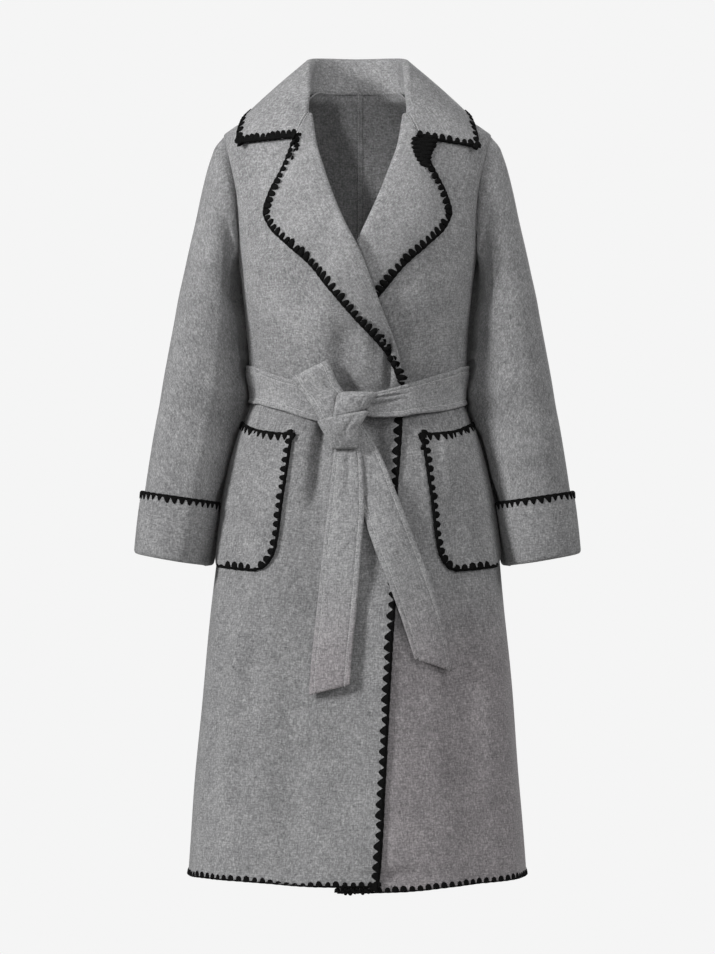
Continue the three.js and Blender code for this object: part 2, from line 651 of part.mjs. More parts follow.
function collarSection(step, side) {
  const at = (column) => along(collarSteps, column, step, 'step');
  const onLapel = lapelTop(side, Math.max(0, step - GORGE_STEP), GORGE_GAP);
  const share = Math.min(step, GORGE_STEP - 1);
  const onNeck = v3(side * along(collarSteps, 'seamQ', share, 'step'),
    along(collarSteps, 'seamY', share, 'step'), along(collarSteps, 'seamZ', share, 'step'));
  const seam = onNeck.lerp(onLapel, smooth(step, GORGE_STEP - 1, GORGE_STEP));
  const roll = v3(side * at('rollQ'), at('rollY'), at('rollZ'));
  const edge = v3(side * at('edgeQ'), at('edgeY'), at('edgeZ'));
  const radius = at('radius');
  const level = edge.clone().sub(roll).setZ(0);
  const reach = level.length();
  const away = level.divideScalar(reach);
  const standing = [];
  const base = roll.clone().add(v3(0, 0, -radius));
  for (let i = 0; i <= STAND_STEPS; i += 1) standing.push(seam.clone().lerp(base, i / STAND_STEPS));
  const centre = base.clone().addScaledVector(away, radius);
  for (const bend of [125, 80, 40]) {
    standing.push(centre.clone().addScaledVector(away, radius * Math.cos(rad(bend)))
      .add(v3(0, 0, radius * Math.sin(rad(bend)))));
  }
  const start = standing[standing.length - 1];
  const chord = edge.clone().sub(start);
  const bulge = away.clone().multiplyScalar(-chord.z).add(v3(0, 0, reach)).normalize();
  for (let i = 1; i <= FALL_STEPS; i += 1) {
    const s = i / FALL_STEPS;
    standing.push(start.clone().lerp(edge, s).addScaledVector(bulge, at('belly') * 4 * s * (1 - s)));
  }
  const flat = standing.map((_, i) => {
    const s = (i / (standing.length - 1)) ** 1.4;
    return seam.clone().lerp(edge, s).add(v3(0, -at('belly') * 3 * s * (1 - s), 0));
  });
  return standing.map((point, i) => flat[i].lerp(point, at('stand')));
}

const collarSteps = collar.map((row, step) => ({ ...row, step }));
const COLLAR_ROWS = 14;

function collarWall() {
  const places = [];
  const last = collar.length - 1;
  for (let i = -COLLAR_ROWS; i <= COLLAR_ROWS; i += 1) {
    const step = last * Math.abs(i) / COLLAR_ROWS;
    places.push(collarSection(step, i < 0 ? -1 : 1));
  }
  return wall(faced(places), CLOTH);
}

addPiece('collar', collarWall());

// ---- patch pockets, made from the front's points moved out ----
const POCKET_COLUMNS = 8;

function pocketWall(side) {
  const bottom = pocket[0].z;
  const top = pocket[pocket.length - 1].z;
  const grid = pocket.map((row) => {
    const s = (row.z - bottom) / (top - bottom);
    const slant = lerp(POCKET_SLANT_BOTTOM, POCKET_SLANT_TOP, s);
    return Array.from({ length: POCKET_COLUMNS + 1 }, (_, j) => {
      const turn = lerp(turnAt(row.inner, row.z), row.outerTurn, j / POCKET_COLUMNS);
      const reach = smooth(turn, 35, 90);
      const z = row.z + slant * reach;
      const lift = side < 0 ? liftOver(plainBody(-turn, z).x, z) : 0;
      return formPoint(side * turn, z, lift + CLOTH + POCKET_CLEAR);
    });
  });
  return wall(grid, CLOTH);
}

addPiece('pocket_right', pocketWall(-1));
addPiece('pocket_left', pocketWall(1));

// ---- tie belt ----
const WAIST_COLUMNS = 46;
const WAIST_ROWS = 3;
const TIED_COLUMNS = 4;

function waistWall() {
  const first = waist[0].turn;
  const last = waist[waist.length - 1].turn;
  const grid = [];
  for (let i = 0; i <= WAIST_ROWS; i += 1) {
    const line = [];
    for (let j = 0; j <= WAIST_COLUMNS; j += 1) {
      const turn = lerp(first, last, j / WAIST_COLUMNS);
      const z = lerp(along(waist, 'bottom', turn, 'turn'), along(waist, 'top', turn, 'turn'), i / WAIST_ROWS);
      const tuck = 1.2 * (1 - (2 * i / WAIST_ROWS - 1) ** 2);
      line.push(formPoint(turn, z, along(waist, 'out', turn, 'turn') + tuck));
    }
    grid.push(line);
  }
  return wall(grid, BELT_CLOTH);
}

function tiedWall(rows, thickness) {
  const grid = rows.map((row) => Array.from({ length: TIED_COLUMNS + 1 }, (_, j) => {
    const s = j / TIED_COLUMNS;
    return onFront(lerp(row.x1, row.x2, s), lerp(row.z1, row.z2, s), row.out + row.crown * 4 * s * (1 - s));
  }));
  return wall(grid, thickness);
}

addPiece('belt_waist', waistWall(), beltWool);
addPiece('belt_tail_left', tiedWall(tailLeft, BELT_CLOTH), beltWool);
addPiece('belt_tail_right', tiedWall(tailRight, BELT_CLOTH), beltWool);
addPiece('belt_loop', tiedWall(loopFold, 5), beltWool);
addPiece('belt_knot_over', tiedWall(knotOver, 6), beltWool);
addPiece('belt_knot_wrap', tiedWall(knotWrap, 6), beltWool);

export default coat;
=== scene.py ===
import math

import bpy
import numpy as np
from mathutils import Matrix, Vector


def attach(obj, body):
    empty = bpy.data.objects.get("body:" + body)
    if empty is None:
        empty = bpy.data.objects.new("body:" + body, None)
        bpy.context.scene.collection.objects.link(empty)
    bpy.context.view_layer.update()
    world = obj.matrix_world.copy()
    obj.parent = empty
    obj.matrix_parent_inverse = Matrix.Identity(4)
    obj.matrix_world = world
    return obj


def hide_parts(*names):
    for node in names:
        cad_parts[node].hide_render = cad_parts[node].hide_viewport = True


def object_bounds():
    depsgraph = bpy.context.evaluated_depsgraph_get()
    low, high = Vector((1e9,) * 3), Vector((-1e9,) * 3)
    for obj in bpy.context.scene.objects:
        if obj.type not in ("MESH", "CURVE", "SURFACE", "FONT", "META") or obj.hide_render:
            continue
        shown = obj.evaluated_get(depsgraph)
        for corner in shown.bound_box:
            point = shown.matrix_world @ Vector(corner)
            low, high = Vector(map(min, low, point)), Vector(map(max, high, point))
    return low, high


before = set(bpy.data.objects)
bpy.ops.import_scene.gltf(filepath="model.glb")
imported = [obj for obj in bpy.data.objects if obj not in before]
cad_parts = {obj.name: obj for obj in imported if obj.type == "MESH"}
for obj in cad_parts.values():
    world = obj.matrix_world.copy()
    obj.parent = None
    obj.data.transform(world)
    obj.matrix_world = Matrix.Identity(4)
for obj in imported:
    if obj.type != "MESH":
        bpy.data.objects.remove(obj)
cad_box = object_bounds()


# ---- camera, light and floor ----
# The coat hangs in a pale studio, seen from straight in front and level with its hips. Five soft
# boxes light it, the strongest from its right-hand side, and a narrow lamp reaches into the neck.
CAMERA_DISTANCE = 5.0
VIEW_HEIGHT = 1.4024          # height that the view takes in at the shoulder line
AIM_BELOW_MIDDLE = 0.0160
SENSOR = 36.0                 # millimetres, on the view's long side
FLOOR_BELOW_HEM = 0.27
FLOOR_RADIUS = 0.75
BACKDROP = "f5f5f5"
AMBIENT = 0.17                # brightness of the room's light on the coat
NECK_WATTS, NECK_BEAM, NECK_LAMP = 260, 8.0, 0.19   # power, degrees and the lamp's radius
SIDES = [("right", -1), ("left", 1)]


def linear(code):
    """Linear colour, with its alpha, of an sRGB colour in hex."""
    parts = [int(code[i:i + 2], 16) / 255 for i in (0, 2, 4)]
    return [p / 12.92 if p <= 0.04045 else ((p + 0.055) / 1.055) ** 2.4 for p in parts] + [1.0]


def add_node(tree, kind, settings=(), **inputs):
    """Adds a node with its settings. An input is a value or a socket to link; _ stands for a space,
    and i2 is the third input."""
    node = tree.nodes.new(kind)
    for name, value in dict(settings).items():
        setattr(node, name, value)
    for name, value in inputs.items():
        key = int(name[1:]) if name[0] == "i" and name[1:].isdigit() else name.replace("_", " ")
        if isinstance(value, bpy.types.NodeSocket):
            tree.links.new(value, node.inputs[key])
        else:
            node.inputs[key].default_value = value
    return node


def made(tree, kind, settings=(), **inputs):
    """The first output of a new node."""
    return add_node(tree, kind, settings, **inputs).outputs[0]


def aim(thing, place, target):
    thing.location = place
    thing.rotation_euler = (Vector(target) - Vector(place)).to_track_quat("-Z", "Y").to_euler()
    bpy.context.scene.collection.objects.link(thing)


middle = (cad_box[0] + cad_box[1]) / 2
aim_height = middle.z - AIM_BELOW_MIDDLE
camera_data = bpy.data.cameras.new("camera")
camera_data.sensor_width = SENSOR
camera_data.lens = SENSOR * CAMERA_DISTANCE / VIEW_HEIGHT
camera_data.clip_end = 60
camera = bpy.data.objects.new("camera", camera_data)
aim(camera, (0, -CAMERA_DISTANCE, aim_height), (0, 0, aim_height))
bpy.context.scene.camera = camera
bpy.context.scene.view_settings.view_transform = "Standard"

for name, place, across, power_watts in [
    ("soft_box_right_side", (-3.8, -2.3, 1.0), 1.0, 205),
    ("soft_box_front", (0.4, -4.4, 0.3), 1.2, 24),
    ("soft_box_left_side", (3.2, -2.1, 1.5), 1.8, 58),
    ("soft_box_behind", (1.4, 4.4, 1.3), 2.0, 110),
    ("soft_box_above", (0.3, -1.0, 2.4), 1.8, 16),
]:
    soft_box = bpy.data.lights.new(name, "AREA")
    soft_box.shape, soft_box.size, soft_box.energy = "DISK", across, power_watts
    aim(bpy.data.objects.new(name, soft_box), place, (0, 0, aim_height))

neck_light = bpy.data.lights.new("neck_spot", "SPOT")
neck_light.energy, neck_light.spot_size = NECK_WATTS, math.radians(NECK_BEAM)
neck_light.spot_blend, neck_light.shadow_soft_size = 1.0, NECK_LAMP
aim(bpy.data.objects.new("neck_spot", neck_light), (-1.1, -3.2, 0.25), (0.01, 0.05, -0.13))

world = bpy.data.worlds.new("studio")
world.use_nodes = True
bpy.context.scene.world = world
studio = world.node_tree
studio.nodes.clear()
seen = made(studio, "ShaderNodeBackground", Color=linear(BACKDROP), Strength=1.0)
room = made(studio, "ShaderNodeBackground", Color=linear("ffffff"), Strength=AMBIENT)
rays = add_node(studio, "ShaderNodeLightPath").outputs["Is Camera Ray"]
either = made(studio, "ShaderNodeMixShader", i0=rays, i1=room, i2=seen)
add_node(studio, "ShaderNodeOutputWorld", Surface=either)

floor_mesh = bpy.data.meshes.new("floor")
ring = [(FLOOR_RADIUS * math.cos(a), FLOOR_RADIUS * math.sin(a), cad_box[0].z - FLOOR_BELOW_HEM)
        for a in np.linspace(0, math.tau, 96, endpoint=False)]
floor_mesh.from_pydata(ring, [], [range(96)])
floor = bpy.data.objects.new("floor", floor_mesh)
bpy.context.scene.collection.objects.link(floor)
floor_paint = bpy.data.materials.new("matt_white_floor_paint")
floor_paint.use_nodes = True
paint = floor_paint.node_tree.nodes["Principled BSDF"].inputs
paint["Base Color"].default_value, paint["Roughness"].default_value = linear("f0f0ee"), 0.9
floor_mesh.materials.append(floor_paint)


# ---- fronts, each with its grown-on lapel ----
# Each front is one cut of double-faced wool coating. It is turned back along a soft roll to make
# the lapel. The right front laps over the left, and the belt draws both in at the waist.
# The tailor's sizes are in millimetres. q is the distance from the middle towards a front's own
# side, and a turn is in degrees round the body: 0 in the middle of the front, 90 at the side.
MM = 0.001
CLOTH = 2.4
SEAM = 0.3
LAPEL_STANDS_OFF = 6.7
SQUARENESS = 2.3
HEM, BREAK, UNDERARM, SHOULDER = -1146, -420, -235, -62
OVER_HEM_LIFT, UNDER_HEM_DROP = 3, 6
GORGE, CHEST_ROLL, NECK_SIDE = -38, -268, -4
NECK_SPREAD = 0.1
WAIST_LINE = -480


def table(names, *lines):
    """A table with named columns, each of them an array."""
    return dict(zip(names.split(), np.array(lines, float).T))


body = table(
    "z half front back",
    [12, 57.5, 30.5, 61.8], [7, 62, 32, 63], [-4, 72, 34, 66], [-12, 95, 40, 70],
    [-22, 125, 50, 75], [-32, 152, 60, 80], [-43, 172, 69, 84], [-52, 185, 76, 88],
    [-62, 196, 82, 92],
    [-80, 196, 91, 95], [-100, 194, 99, 99], [-150, 185, 117, 103], [-235, 174, 130, 102],
    [-300, 166, 128, 96], [-365, 160, 118, 90], [-405, 158, 112, 87], [-440, 153, 106, 84],
    [-475, 163, 113, 92], [-545, 184, 124, 106], [-603, 196, 131, 115], [-669, 205, 137, 123],
    [-801, 218.5, 147, 134], [-977, 234.5, 158, 147], [-1146, 247.5, 168, 160],
    [-1165, 249, 169, 161])
front_edge = table(
    "z q", [-420, -64], [-478, -63], [-532, -60], [-587, -56], [-748, -52], [-793, -49],
    [-908, -43], [-1006, -38], [-1102, -33], [-1160, -28])
# Roll line, its shift on the over front, the edge point opposite it, and the soft roll's radius.
lapel = table(
    "z q over edge_q edge_z radius",
    [-420, -64, 0, -56, -419, 2.4], [-400, -55, 0, -48, -397.5, 2.8],
    [-383, -51.5, 0, -37.5, -379, 3], [-360, -45.2, 0, -15.8, -352, 3.4],
    [-333, -34.6, 0, 10.6, -323.7, 3.8], [-304, -23.4, 0.5, 36.2, -293.9, 4.4],
    [-271, -13.4, 3, 65, -258, 5], [-240, -2.6, 4.5, 96.7, -228.7, 5.4],
    [-205, 14.6, 6, 122.9, -201.8, 5.8], [-164, 33.4, 5, 131.7, -179.6, 5.8],
    [-120, 50.6, 3, 124.4, -152.5, 5.5], [-82, 63, 1, 107.2, -119.3, 5],
    [-38, 70.5, 0, 88.7, -73.4, 4.6])
# How far the hem is cut higher round the hips, against its line in the middle.
hem_rise = table(
    "turn rise", [0, 0], [12, 0.5], [30, 4.5], [45, 6.2], [60, 6.2], [75, 4.5], [90, 2.5],
    [105, 1], [130, 0], [180, 0])
# How far the over front stands off the body where it lies on the under front.
over_lift = table(
    "z lift", [-1160, 4.2], [-820, 4.8], [-540, 4.8], [-480, 4.5], [-440, 5], [-424, 10.2],
    [-400, 12.6], [-333, 14.8], [-271, 17.2], [-238, 18.4], [-212, 16.4], [-190, 9], [-155, 0])
armhole = table(
    "z turn", [UNDERARM, 90], [-231, 85], [-222, 80.5], [-200, 75], [-165, 71], [-130, 70],
    [-98, 72.5], [-75, 78], [-66, 83], [SHOULDER, 90])
# Long folds that hang from the shoulders, the waist and the hips.
folds = table(
    "at_top at_bottom top bottom spread rise",
    [-68, -74, -330, -470, 5, -6], [-30, -40, -300, -420, 9, 5], [22, 30, -280, -420, 8, 5],
    [62, 74, -340, -440, 6, -6], [-14, -20, -470, -1130, 9, -8], [-34, -46, -480, -1150, 10, 6],
    [10, 8, -500, -1120, 8, 6], [38, 44, -520, -1150, 9, -7], [66, 62, -560, -1150, 9, 5],
    [-66, -66, -560, -1150, 9, 5], [128, 122, -470, -1150, 10, 7], [150, 152, -520, -1150, 9, -7],
    [-128, -124, -470, -1150, 10, 7], [-152, -150, -520, -1150, 9, -7],
    [140, 146, -250, -430, 9, 5], [-140, -146, -250, -430, 9, 5])
# Shorter creases: the turn and height of both ends, half widths there and rise, in millimetres.
creases = table(
    "turn_a z_a turn_b z_b wide_a wide_b rise",
    [-6, -325, -4, -478, 11, 18, -10], [3, -335, 2, -422, 8, 7, 4],
    [12.6, -345, 13.4, -445, 2.8, 4.4, -7.5], [-60, -376, -59, -412, 3, 3, -4.5],
    [-50, -300, -52, -400, 12, 12, 2.6], [-24, -300, -20, -396, 10, 12, -2.6],
    [-59, -450, -57, -505, 3, 7, -5], [-44, -456, -46, -570, 8, 14, 3.4],
    [57, -340, 58, -402, 3, 3, -4], [62, -452, 66, -505, 5, 10, -6.5],
    [-13.5, -444, -16, -630, 6, 13, -13], [-29, -484, -34, -640, 9, 15, 4],
    [6, -436, 8, -590, 8, 10, -17], [12, -432, 12.5, -610, 9, 12, -6],
    [7, -560, 5, -760, 9, 13, -7], [-6, -488, -10, -640, 8, 14, -3.5],
    [30, -465, 28, -640, 7, 12, 3], [42, -474, 39, -610, 8, 14, 3.4],
    [52, -466, 54, -560, 5, 10, -4], [-48, -720, -50, -1100, 18, 26, 8],
    [-38, -660, -43, -1110, 16, 26, -5], [-4, -660, -4, -1150, 22, 30, -6],
    [34, -700, 36, -1100, 16, 24, -4], [52, -640, 52, -1090, 16, 22, 4],
    [30, -290, 42, -400, 10, 13, 3], [112, -330, 116, -420, 7, 9, -4],
    [-110, -330, -116, -420, 7, 9, -4], [150, -300, 158, -410, 9, 11, 3.6],
    [-152, -290, -160, -410, 9, 11, 3.6], [166, -460, 170, -640, 9, 16, -4.4],
    [-168, -460, -172, -620, 9, 16, -4], [112, -462, 108, -620, 8, 14, -4.6],
    [-110, -462, -106, -640, 8, 14, -4.2], [134, -462, 132, -560, 7, 12, 3],
    [-136, -462, -134, -570, 7, 12, 3])


def along(rows, column, at, key="z"):
    """Values of a column at a key, on a smooth curve through the rows that never overshoots."""
    x, y = rows[key], rows[column]
    if x[0] > x[-1]:
        x, y = x[::-1], y[::-1]
    at = np.clip(at, x[0], x[-1])
    i = np.clip(np.searchsorted(x, at) - 1, 0, len(x) - 2)
    step = np.diff(x)
    rate = np.diff(y) / step
    before, after = rate[:-1], rate[1:]
    turning = before * after <= 0
    inner = np.where(turning, 0, 2 * before * after / np.where(turning, 1, before + after))
    slope = np.concatenate([rate[:1], inner, rate[-1:]])
    s = (at - x[i]) / step[i]
    return (y[i] * (1 + 2 * s) * (1 - s) ** 2 + y[i + 1] * s * s * (3 - 2 * s)
            + step[i] * s * (1 - s) * (slope[i] * (1 - s) - slope[i + 1] * s))


def smooth(x, low, high):
    s = np.clip((x - low) / (high - low), 0, 1)
    return s * s * (3 - 2 * s)


def power(value, exponent):
    return np.sign(value) * np.abs(value) ** exponent


def unit(vectors):
    return vectors / np.maximum(np.linalg.norm(vectors, axis=-1, keepdims=True), 1e-9)


def lerp(a, b, s):
    return a + (b - a) * s


def plain_body(turn, z):
    turn, z = np.broadcast_arrays(np.asarray(turn, float), np.asarray(z, float))
    across, ahead = np.sin(np.radians(turn)), np.cos(np.radians(turn))
    depth = np.where(ahead >= 0, along(body, "front", z), along(body, "back", z))
    return np.stack([along(body, "half", z) * power(across, 2 / SQUARENESS),
                     -depth * power(ahead, 2 / SQUARENESS), z], -1)


def turn_between(turn, other):
    return (turn - other + 180) % 360 - 180


def fold_rise(turn, z):
    rise = np.zeros(np.shape(turn))
    for at_top, at_bottom, top, bottom, spread, height in zip(*folds.values()):
        s = (top - z) / (top - bottom)
        away = turn_between(turn, lerp(at_top, at_bottom, s))
        fade = smooth(s, 0, 0.25) * (1 if bottom < HEM + 60 else smooth(1 - s, 0, 0.25))
        rise += np.where((s > 0) & (s < 1), height * fade * np.exp(-((away / spread) ** 2)), 0)
    return rise


def crease_rise(turn, z):
    """Rise of the shorter creases and of the cloth's slight unevenness."""
    girth = np.radians((along(body, "half", z) + along(body, "front", z)) / 2)
    rise = np.zeros(np.shape(turn))
    for turn_a, z_a, turn_b, z_b, wide_a, wide_b, height in zip(*creases.values()):
        x, y = turn_between(turn, turn_a) * girth, z - z_a
        run_x, run_y = turn_between(turn_b, turn_a) * girth, z_b - z_a
        length = np.hypot(run_x, run_y)
        s = (x * run_x + y * run_y) / length ** 2
        aside = (x * run_y - y * run_x) / length
        fade = smooth(s, 0, 0.3) * smooth(1 - s, 0, 0.3)
        rise += height * fade * np.exp(-((aside / lerp(wide_a, wide_b, np.clip(s, 0, 1))) ** 2))
    around = np.radians(turn)
    uneven = (np.sin(3 * around + z / 61 + 1) * np.sin(z / 83 + 2 * around)
              + 0.7 * np.sin(7 * around - z / 97 + 2) + 0.5 * np.sin(11 * around + z / 41))
    return rise + 0.7 * uneven * smooth(np.abs(z - WAIST_LINE + 40), 20, 90)


def form_point(turn, z, out=0.0, creased=True):
    """A place on the coat's form, moved out by a distance, and the direction that it faces."""
    d_turn, d_z = 0.6, 1.5
    turn, z = np.broadcast_arrays(np.asarray(turn, float), np.asarray(z, float))
    round_ = plain_body(turn + d_turn, z) - plain_body(turn - d_turn, z)
    up = plain_body(turn, z + d_z) - plain_body(turn, z - d_z)
    facing = unit(np.cross(round_, up))
    rise = fold_rise(turn, z) + (crease_rise(turn, z) if creased else 0) + out
    return plain_body(turn, z) + facing * rise[..., None], facing


def turn_at(x, z):
    """Turn at which the form, at a height, lies x from the middle of the front."""
    share = np.clip(x / along(body, "half", z), -1, 1)
    return np.degrees(np.arcsin(power(share, SQUARENESS / 2)))


def side_turn(z, column):
    """Turn short of the side seam that leaves half a seam gap."""
    share = SEAM / 2 / along(body, column, z)
    short = 90 - np.degrees(np.arccos(share ** (SQUARENESS / 2)))
    return 90 - short if column == "front" else 90 + short


def hem_lifted(turn, z):
    low = np.clip((z - WAIST_LINE) / (HEM - WAIST_LINE), 0, None)
    return z + along(hem_rise, "rise", np.abs(turn), "turn") * low ** 2


def lift_over(x, z):
    """Extra stand-off of the over front, which fades out before the under front ends."""
    under_starts = np.where(z < BREAK, along(front_edge, "q", z), along(lapel, "q", z))
    return along(over_lift, "lift", z) * smooth(x, under_starts - 62, under_starts - 12)


def arm_point(angle):
    """Height and turn of a place on the armhole: 0 at the shoulder, 180 under the arm."""
    z = (UNDERARM + SHOULDER) / 2 + (SHOULDER - UNDERARM) / 2 * np.cos(np.radians(angle))
    ahead = along(armhole, "turn", z)
    return z, np.where(angle % 360 < 180, ahead, 180 - ahead)


def grid_facing(at, loop=False):
    """Direction that each place of a grid faces, worked out from its neighbours."""
    if loop:
        round_ = np.roll(at, -1, 1) - np.roll(at, 1, 1)
    else:
        round_ = np.gradient(at, axis=1)
    return unit(np.cross(round_, np.gradient(at, axis=0)))


def lengths(at, axis):
    """Distance from the first place of each line of a grid, along the cloth."""
    steps = np.linalg.norm(np.diff(at, axis=axis), axis=-1)
    return np.cumsum(np.insert(steps, 0, 0, axis=axis), axis=axis)


def cloth_wall(name, at, facing, thickness=CLOTH, loop=False, cut_away=None, round_edge=0.32):
    """A closed wall of cloth round a grid of places in the middle of it, with rounded edges.
    Its UV map is in metres along the cloth, for the weave."""
    rows, columns = at.shape[:2]
    number = np.arange(rows * columns).reshape(rows, columns)
    u, v = lengths(at, 1), lengths(at, 0)
    if loop:
        closing = np.linalg.norm(at[:, 0] - at[:, -1], axis=-1)[:, None]
        number = np.hstack([number, number[:, :1]])
        u, v = np.hstack([u, u[:, -1:] + closing]), np.hstack([v, v[:, :1]])
    weave = np.stack([u, v], -1) * MM

    def corners(grid):
        picked = [grid[:-1, :-1], grid[:-1, 1:], grid[1:, 1:], grid[1:, :-1]]
        return np.stack(picked, 2).reshape(-1, 4, *grid.shape[2:])

    cells, cell_weave = corners(number), corners(weave)
    if cut_away is not None:
        kept = ~cut_away.reshape(-1)
        cells, cell_weave = cells[kept], cell_weave[kept]
    places, faces_to = at.reshape(-1, 3), facing.reshape(-1, 3)
    a, b, c = (places[cells[:, k]] for k in range(3))
    if np.sum(np.cross(b - a, c - a) * faces_to[cells[:, 0]]) < 0:
        cells, cell_weave = cells[:, ::-1], cell_weave[:, ::-1]
    edges = np.stack([cells, np.roll(cells, -1, 1)], -1).reshape(-1, 2)
    edge_weave = np.stack([cell_weave, np.roll(cell_weave, -1, 1)], 2).reshape(-1, 2, 2)
    total = len(places)
    open_edge = ~np.isin(edges[:, 0] * total + edges[:, 1], edges[:, 1] * total + edges[:, 0])
    edges, edge_weave = edges[open_edge], edge_weave[open_edge]
    outward = np.zeros((total, 3))
    away = unit(np.cross(places[edges[:, 1]] - places[edges[:, 0]], faces_to[edges[:, 0]]))
    np.add.at(outward, edges[:, 0], away)
    np.add.at(outward, edges[:, 1], away)
    points = np.concatenate([places + faces_to * thickness / 2, places - faces_to * thickness / 2,
                             places + unit(outward) * thickness * round_edge])
    start, end = edges[:, 0], edges[:, 1]
    rim_outer = np.stack([end, start, start + 2 * total, end + 2 * total], -1)
    rim_inner = np.stack([end + 2 * total, start + 2 * total, start + total, end + total], -1)
    faces = np.concatenate([cells, cells[:, ::-1] + total, rim_outer, rim_inner])
    rim_weave = edge_weave[:, [1, 0, 0, 1]]
    uv = np.concatenate([cell_weave, cell_weave[:, ::-1], rim_weave, rim_weave])
    used, faces = np.unique(faces, return_inverse=True)
    mesh = bpy.data.meshes.new(name)
    mesh.from_pydata((points[used] * MM).tolist(), [], faces.reshape(-1, 4).tolist())
    mesh.uv_layers.new(name="weave").data.foreach_set("uv", uv.astype(np.float32).ravel())
    mesh.shade_smooth()
    piece = bpy.data.objects.new(name, mesh)
    bpy.context.scene.collection.objects.link(piece)
    return piece


# Milled wool coating: a soft matt nap with charcoal, mid and pale grey fibres carded together,
# so that it looks heathered. The short streaks follow the warp and the weft under the nap.
FIBRE_SPECK = 0.0028          # metres; a fibre is far finer, so tufts of them are drawn
STREAK_WIDE, STREAK_LONG = 0.0017, 0.011
MOTTLE, CLOUD = 0.009, 0.05
WARM_FROM, WARM_TO = -0.68, -0.86   # heights between which the warmer tint comes in


# Tufts, clouds and mottling of the shade: size in metres, detail, roughness, strength and shift.
SHADES = [(FIBRE_SPECK, 2.0, 0.6, 0.55, 0.225), (CLOUD, 3.0, 0.5, 0.16, -0.08),
          (MOTTLE, 2.0, 0.6, 0.17, -0.085)]


def calculate(tree, operation, *values):
    inputs = {f"i{k}": value for k, value in enumerate(values)}
    return made(tree, "ShaderNodeMath", {"operation": operation}, **inputs)


def noise(tree, place, size, **inputs):
    return made(tree, "ShaderNodeTexNoise", Vector=place, Scale=1 / size, **inputs)


def colour_ramp(tree, value, *stops):
    """Colours along a value. The first two stops are the ends."""
    ramp = add_node(tree, "ShaderNodeValToRGB", Fac=value)
    for k, (place, code) in enumerate(stops):
        stop = ramp.color_ramp.elements[k] if k < 2 else ramp.color_ramp.elements.new(place)
        stop.position, stop.color = place, linear(code)
    return ramp.outputs[0]


def blank_material(name):
    material = bpy.data.materials.new(name)
    material.use_nodes = True
    material.node_tree.nodes.clear()
    return material, material.node_tree


def wool_coating(name, charcoal="4f4f50", mid="818182", pale="b2b2b2", warm="818182"):
    material, tree = blank_material(name)
    here = add_node(tree, "ShaderNodeTexCoord").outputs["Object"]
    weave = made(tree, "ShaderNodeUVMap", {"uv_map": "weave"})
    streaks = []
    for wide, long in [(STREAK_WIDE, STREAK_LONG), (STREAK_LONG, STREAK_WIDE)]:
        laid = made(tree, "ShaderNodeMapping", Vector=weave, Scale=(1 / wide, 1 / long, 1))
        streaks.append(noise(tree, laid, 1.0, Detail=1.0))
    both = calculate(tree, "ADD", *streaks)
    tone = calculate(tree, "MULTIPLY_ADD", both, 0.28, -0.28)
    for size, detail, roughness, strength, shift in SHADES:
        grain = noise(tree, here, size, Detail=detail, Roughness=roughness)
        tone = calculate(tree, "ADD", tone, calculate(tree, "MULTIPLY_ADD", grain, strength, shift))
    mix = colour_ramp(tree, tone, (0.26, charcoal), (0.76, pale), (0.5, mid))
    # Low on the coat, between WARM_FROM and WARM_TO, the colour is multiplied by the tint of warm
    # against mid. The cloth is warmer there, and where warm is darker than mid, as on the belt, it
    # is also darker towards the bottom.
    height = add_node(tree, "ShaderNodeSeparateXYZ", Vector=here).outputs["Z"]
    low = made(tree, "ShaderNodeMapRange", {"interpolation_type": "SMOOTHSTEP"}, Value=height,
               From_Min=WARM_FROM, From_Max=WARM_TO, To_Min=0.0, To_Max=1.0)
    warmth = [w / m for w, m in zip(linear(warm), linear(mid))]
    tint = add_node(tree, "ShaderNodeMix", {"data_type": "RGBA"}, i0=low, i6=linear("ffffff"),
                    i7=warmth)
    dyed = add_node(tree, "ShaderNodeMix", {"data_type": "RGBA", "blend_type": "MULTIPLY"},
                    i0=1.0, i6=mix, i7=tint.outputs[2])
    pile = calculate(tree, "ADD", noise(tree, here, 0.6 * FIBRE_SPECK, Detail=3.0), both)
    bump = made(tree, "ShaderNodeBump", Height=pile, Strength=0.55, Distance=0.0006)
    surface = made(tree, "ShaderNodeBsdfPrincipled", Base_Color=dyed.outputs[2], Roughness=0.93,
                   Normal=bump, Sheen_Weight=0.12, Sheen_Roughness=0.6, Specular_IOR_Level=0.2)
    add_node(tree, "ShaderNodeOutputMaterial", Surface=surface)
    return material


def finish_cloth(piece, material, replaces=None):
    piece.data.materials.append(material)
    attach(piece, "root")
    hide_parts(*(replaces or [piece.name[:-6]]))


SKIRT_LINES, BODICE_LINES, ARM_LINES = 150, 38, 46
FRONT_COLUMNS, ROLL_COLUMNS, LAPEL_COLUMNS = 88, 8, 26
ARM_STEPS = 12                # the drafted steps round half of the armhole
GORGE_ARM_STEP = 10


def seam_dip(distance, depth=1.1, reach=4.0):
    """The cloth sinks towards a seam, within reach of it."""
    return -depth * np.exp(-(distance / reach) ** 2)


def lapel_out(radius, s):
    """Stand-off of the lapel's cloth above the front, from the roll to its edge."""
    edge = np.minimum(LAPEL_STANDS_OFF, 2 * radius)
    return lerp(2 * radius, edge, s) + 3 * radius * s * (1 - s)


